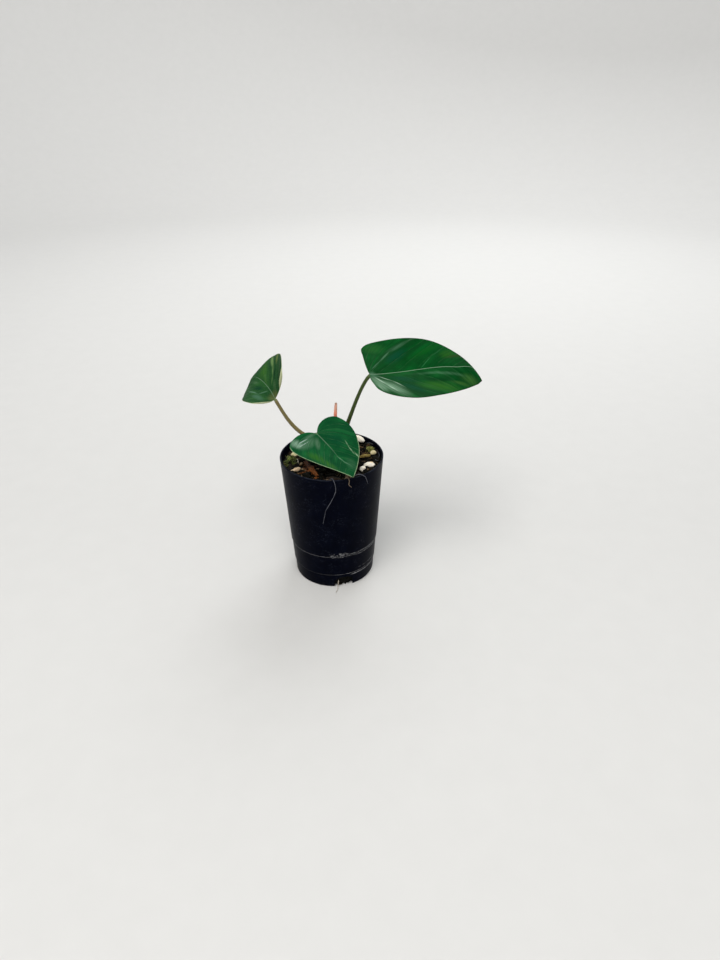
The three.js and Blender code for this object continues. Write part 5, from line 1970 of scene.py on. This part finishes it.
yellow_moss = moss_finish("moss_yellow_green", (0.004, 0.008, 0.002), (0.2, 0.26, 0.05))
olive_moss = moss_finish("moss_olive", (0.11, 0.115, 0.02), (0.46, 0.47, 0.14))
build_moss("moss_left", 240, yellow_moss, 31, (1.6, 4.2), 0.1, (-1.2, 3.4), (1.05, 1.3))
build_moss("moss_right", 760, olive_moss, 32, (0.8, 1.7), 0.2)

# %% [markdown]
# Fine roots creep over the rim and hang down in front, and one comes out of the notch. They
# follow the CAD's points: angle in degrees, distance from the axis and height. Dry roots are
# stiff, so a tapered tube with a small waver serves better than a simulated cord.

# %% Roots
ROOTS = {
    "root_thread_long": [
        (-92, 33, 94.6), (-90, 35.4, 97.6), (-87.6, 37, 99.2), (-85.6, 38.5, 97.2), (-84.3, 38.1, 91.3),
        (-86, 37.8, 86.5), (-90.7, 37.3, 79.5), (-95.7, 36.8, 72.9), (-97.4, 36.5, 67.6),
        (-99.4, 36.2, 61.6)],
    "root_thread_short": [
        (-74, 33, 94.6), (-73, 35.4, 97.8), (-71.4, 37, 99.3), (-70.2, 38.5, 97.4), (-70.4, 38.2, 94),
        (-67.5, 38.1, 91.3)],
    "root_curl": [
        (-66, 33, 94.6), (-63, 35.4, 98), (-57.5, 37.2, 99.6), (-52.4, 38.7, 97.4), (-49.6, 38.3, 94),
        (-47, 38, 89.8)],
    "root_notch": [
        (-83, 29.6, 5.6), (-83.6, 30.8, 4), (-84.4, 32.2, 1.6), (-85.4, 34.4, 0.8), (-87, 38, 0.8)],
}


def root_finish(name, dark, light):
    material, tree, shader = new_material(name, specular_ior_level=0.35)
    crumbly = place_group(tree, crumble, place=surface_mm(tree), coarse=2.5, fine=0.25)
    colour = mix(tree, crumbly["Tone"], dark, light)
    finish(tree, shader, colour, 0.6, product(tree, crumbly["Height"], 0.3))
    return material


def build_root(name, points, material, thickness, seed):
    path = [(r * math.cos(math.radians(a)), r * math.sin(math.radians(a)), z) for a, r, z in points]
    line = smooth_path(path, 160)
    waver = np.stack([lumps(line, 2.4, seed + k) for k in range(3)], 1) * 0.12
    radii = (thickness, thickness * 0.9, thickness * 0.8, thickness * 0.5)
    tube, faces, _ = sweep(line + waver, radii, round_section(8))
    make_piece(f"{name}_fine", tube, faces, material, "root", name)


pale_root = root_finish("root_pale", (0.36, 0.31, 0.24), (0.62, 0.57, 0.48))
tan_root = root_finish("root_tan", (0.12, 0.08, 0.05), (0.3, 0.23, 0.16))
dusty_root = root_finish("root_dusty", (0.034, 0.04, 0.058), (0.12, 0.125, 0.145))
for k, (name, material, thickness) in enumerate((
    ("root_thread_long", dusty_root, 0.26), ("root_thread_short", tan_root, 0.3),
    ("root_curl", dusty_root, 0.3), ("root_notch", pale_root, 0.3),
)):
    build_root(name, ROOTS[name], material, thickness, 80 + 5 * k)

# %% [markdown]
# More short roots lie on the mix, too thin to measure, so they are given one by one: material, thickness
# and points seen from above. The height of the mix lays them down.

# %% Surface roots
SURFACE_ROOTS = [
    (pale_root, 0.34, [(-25.6, 1.6), (-24.8, -0.6), (-24.4, -2.6), (-23.4, -4.8)]),
    (tan_root, 0.34, [(0.5, -29.4), (3.6, -30.6), (6.4, -31.0), (9.4, -33.0), (12.4, -34.0)]),
    (tan_root, 0.26, [(4.4, -32.2), (7.4, -31.8), (10.8, -32.0), (14.6, -32.6)]),
    (tan_root, 0.3, [(-4.0, -27.4), (0.0, -29.6), (4.0, -30.8), (9.0, -31.6), (13.0, -33.4)]),
    (tan_root, 0.22, [(-1.0, -31.0), (3.0, -29.6), (8.0, -30.2), (11.0, -32.2)]),
    (dusty_root, 0.24, [(27.0, 23.0), (29.0, 20.4), (31.4, 19.0), (32.4, 16.0)]),
    (dusty_root, 0.3, [(25.6, 21.4), (27.6, 22.6), (29.4, 21.8), (30.4, 19.4)]),
    (dusty_root, 0.26, [(33.6, 7.4), (34.6, 4.6), (34.2, 1.6)]),
    (dusty_root, 0.24, [(31.2, -3.0), (32.4, -4.6), (33.6, -5.0)]),
]


def build_surface_roots():
    for material in (pale_root, tan_root, dusty_root):
        tubes = []
        for root_material, thickness, places in SURFACE_ROOTS:
            if root_material is material:
                path = [(x, y, float(mix_height(x, y)) + 0.5) for x, y in places]
                line = smooth_path(path, 40)
                line = line + np.stack([lumps(line, 1.8, 90 + k) for k in range(3)], 1) * 0.25
                radii = (thickness * 0.5, thickness, thickness * 0.4)
                tubes.append(sweep(line, radii, round_section(8))[:2])
        make_joined(f"surface_roots_{material.name.split('_')[1]}", tubes, material, "root")


build_surface_roots()

# %% [markdown]
# The last cell prints the largest difference between the two boxes, the CAD's and the finished plant's: the
# dressed plant has to stay as large as the CAD says.

# %% Size note and finish
low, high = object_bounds()
pairs = zip((*cad_low, *cad_high), (*low, *high))
print("largest difference in mm:", max(abs(a - b) for a, b in pairs) / MM)
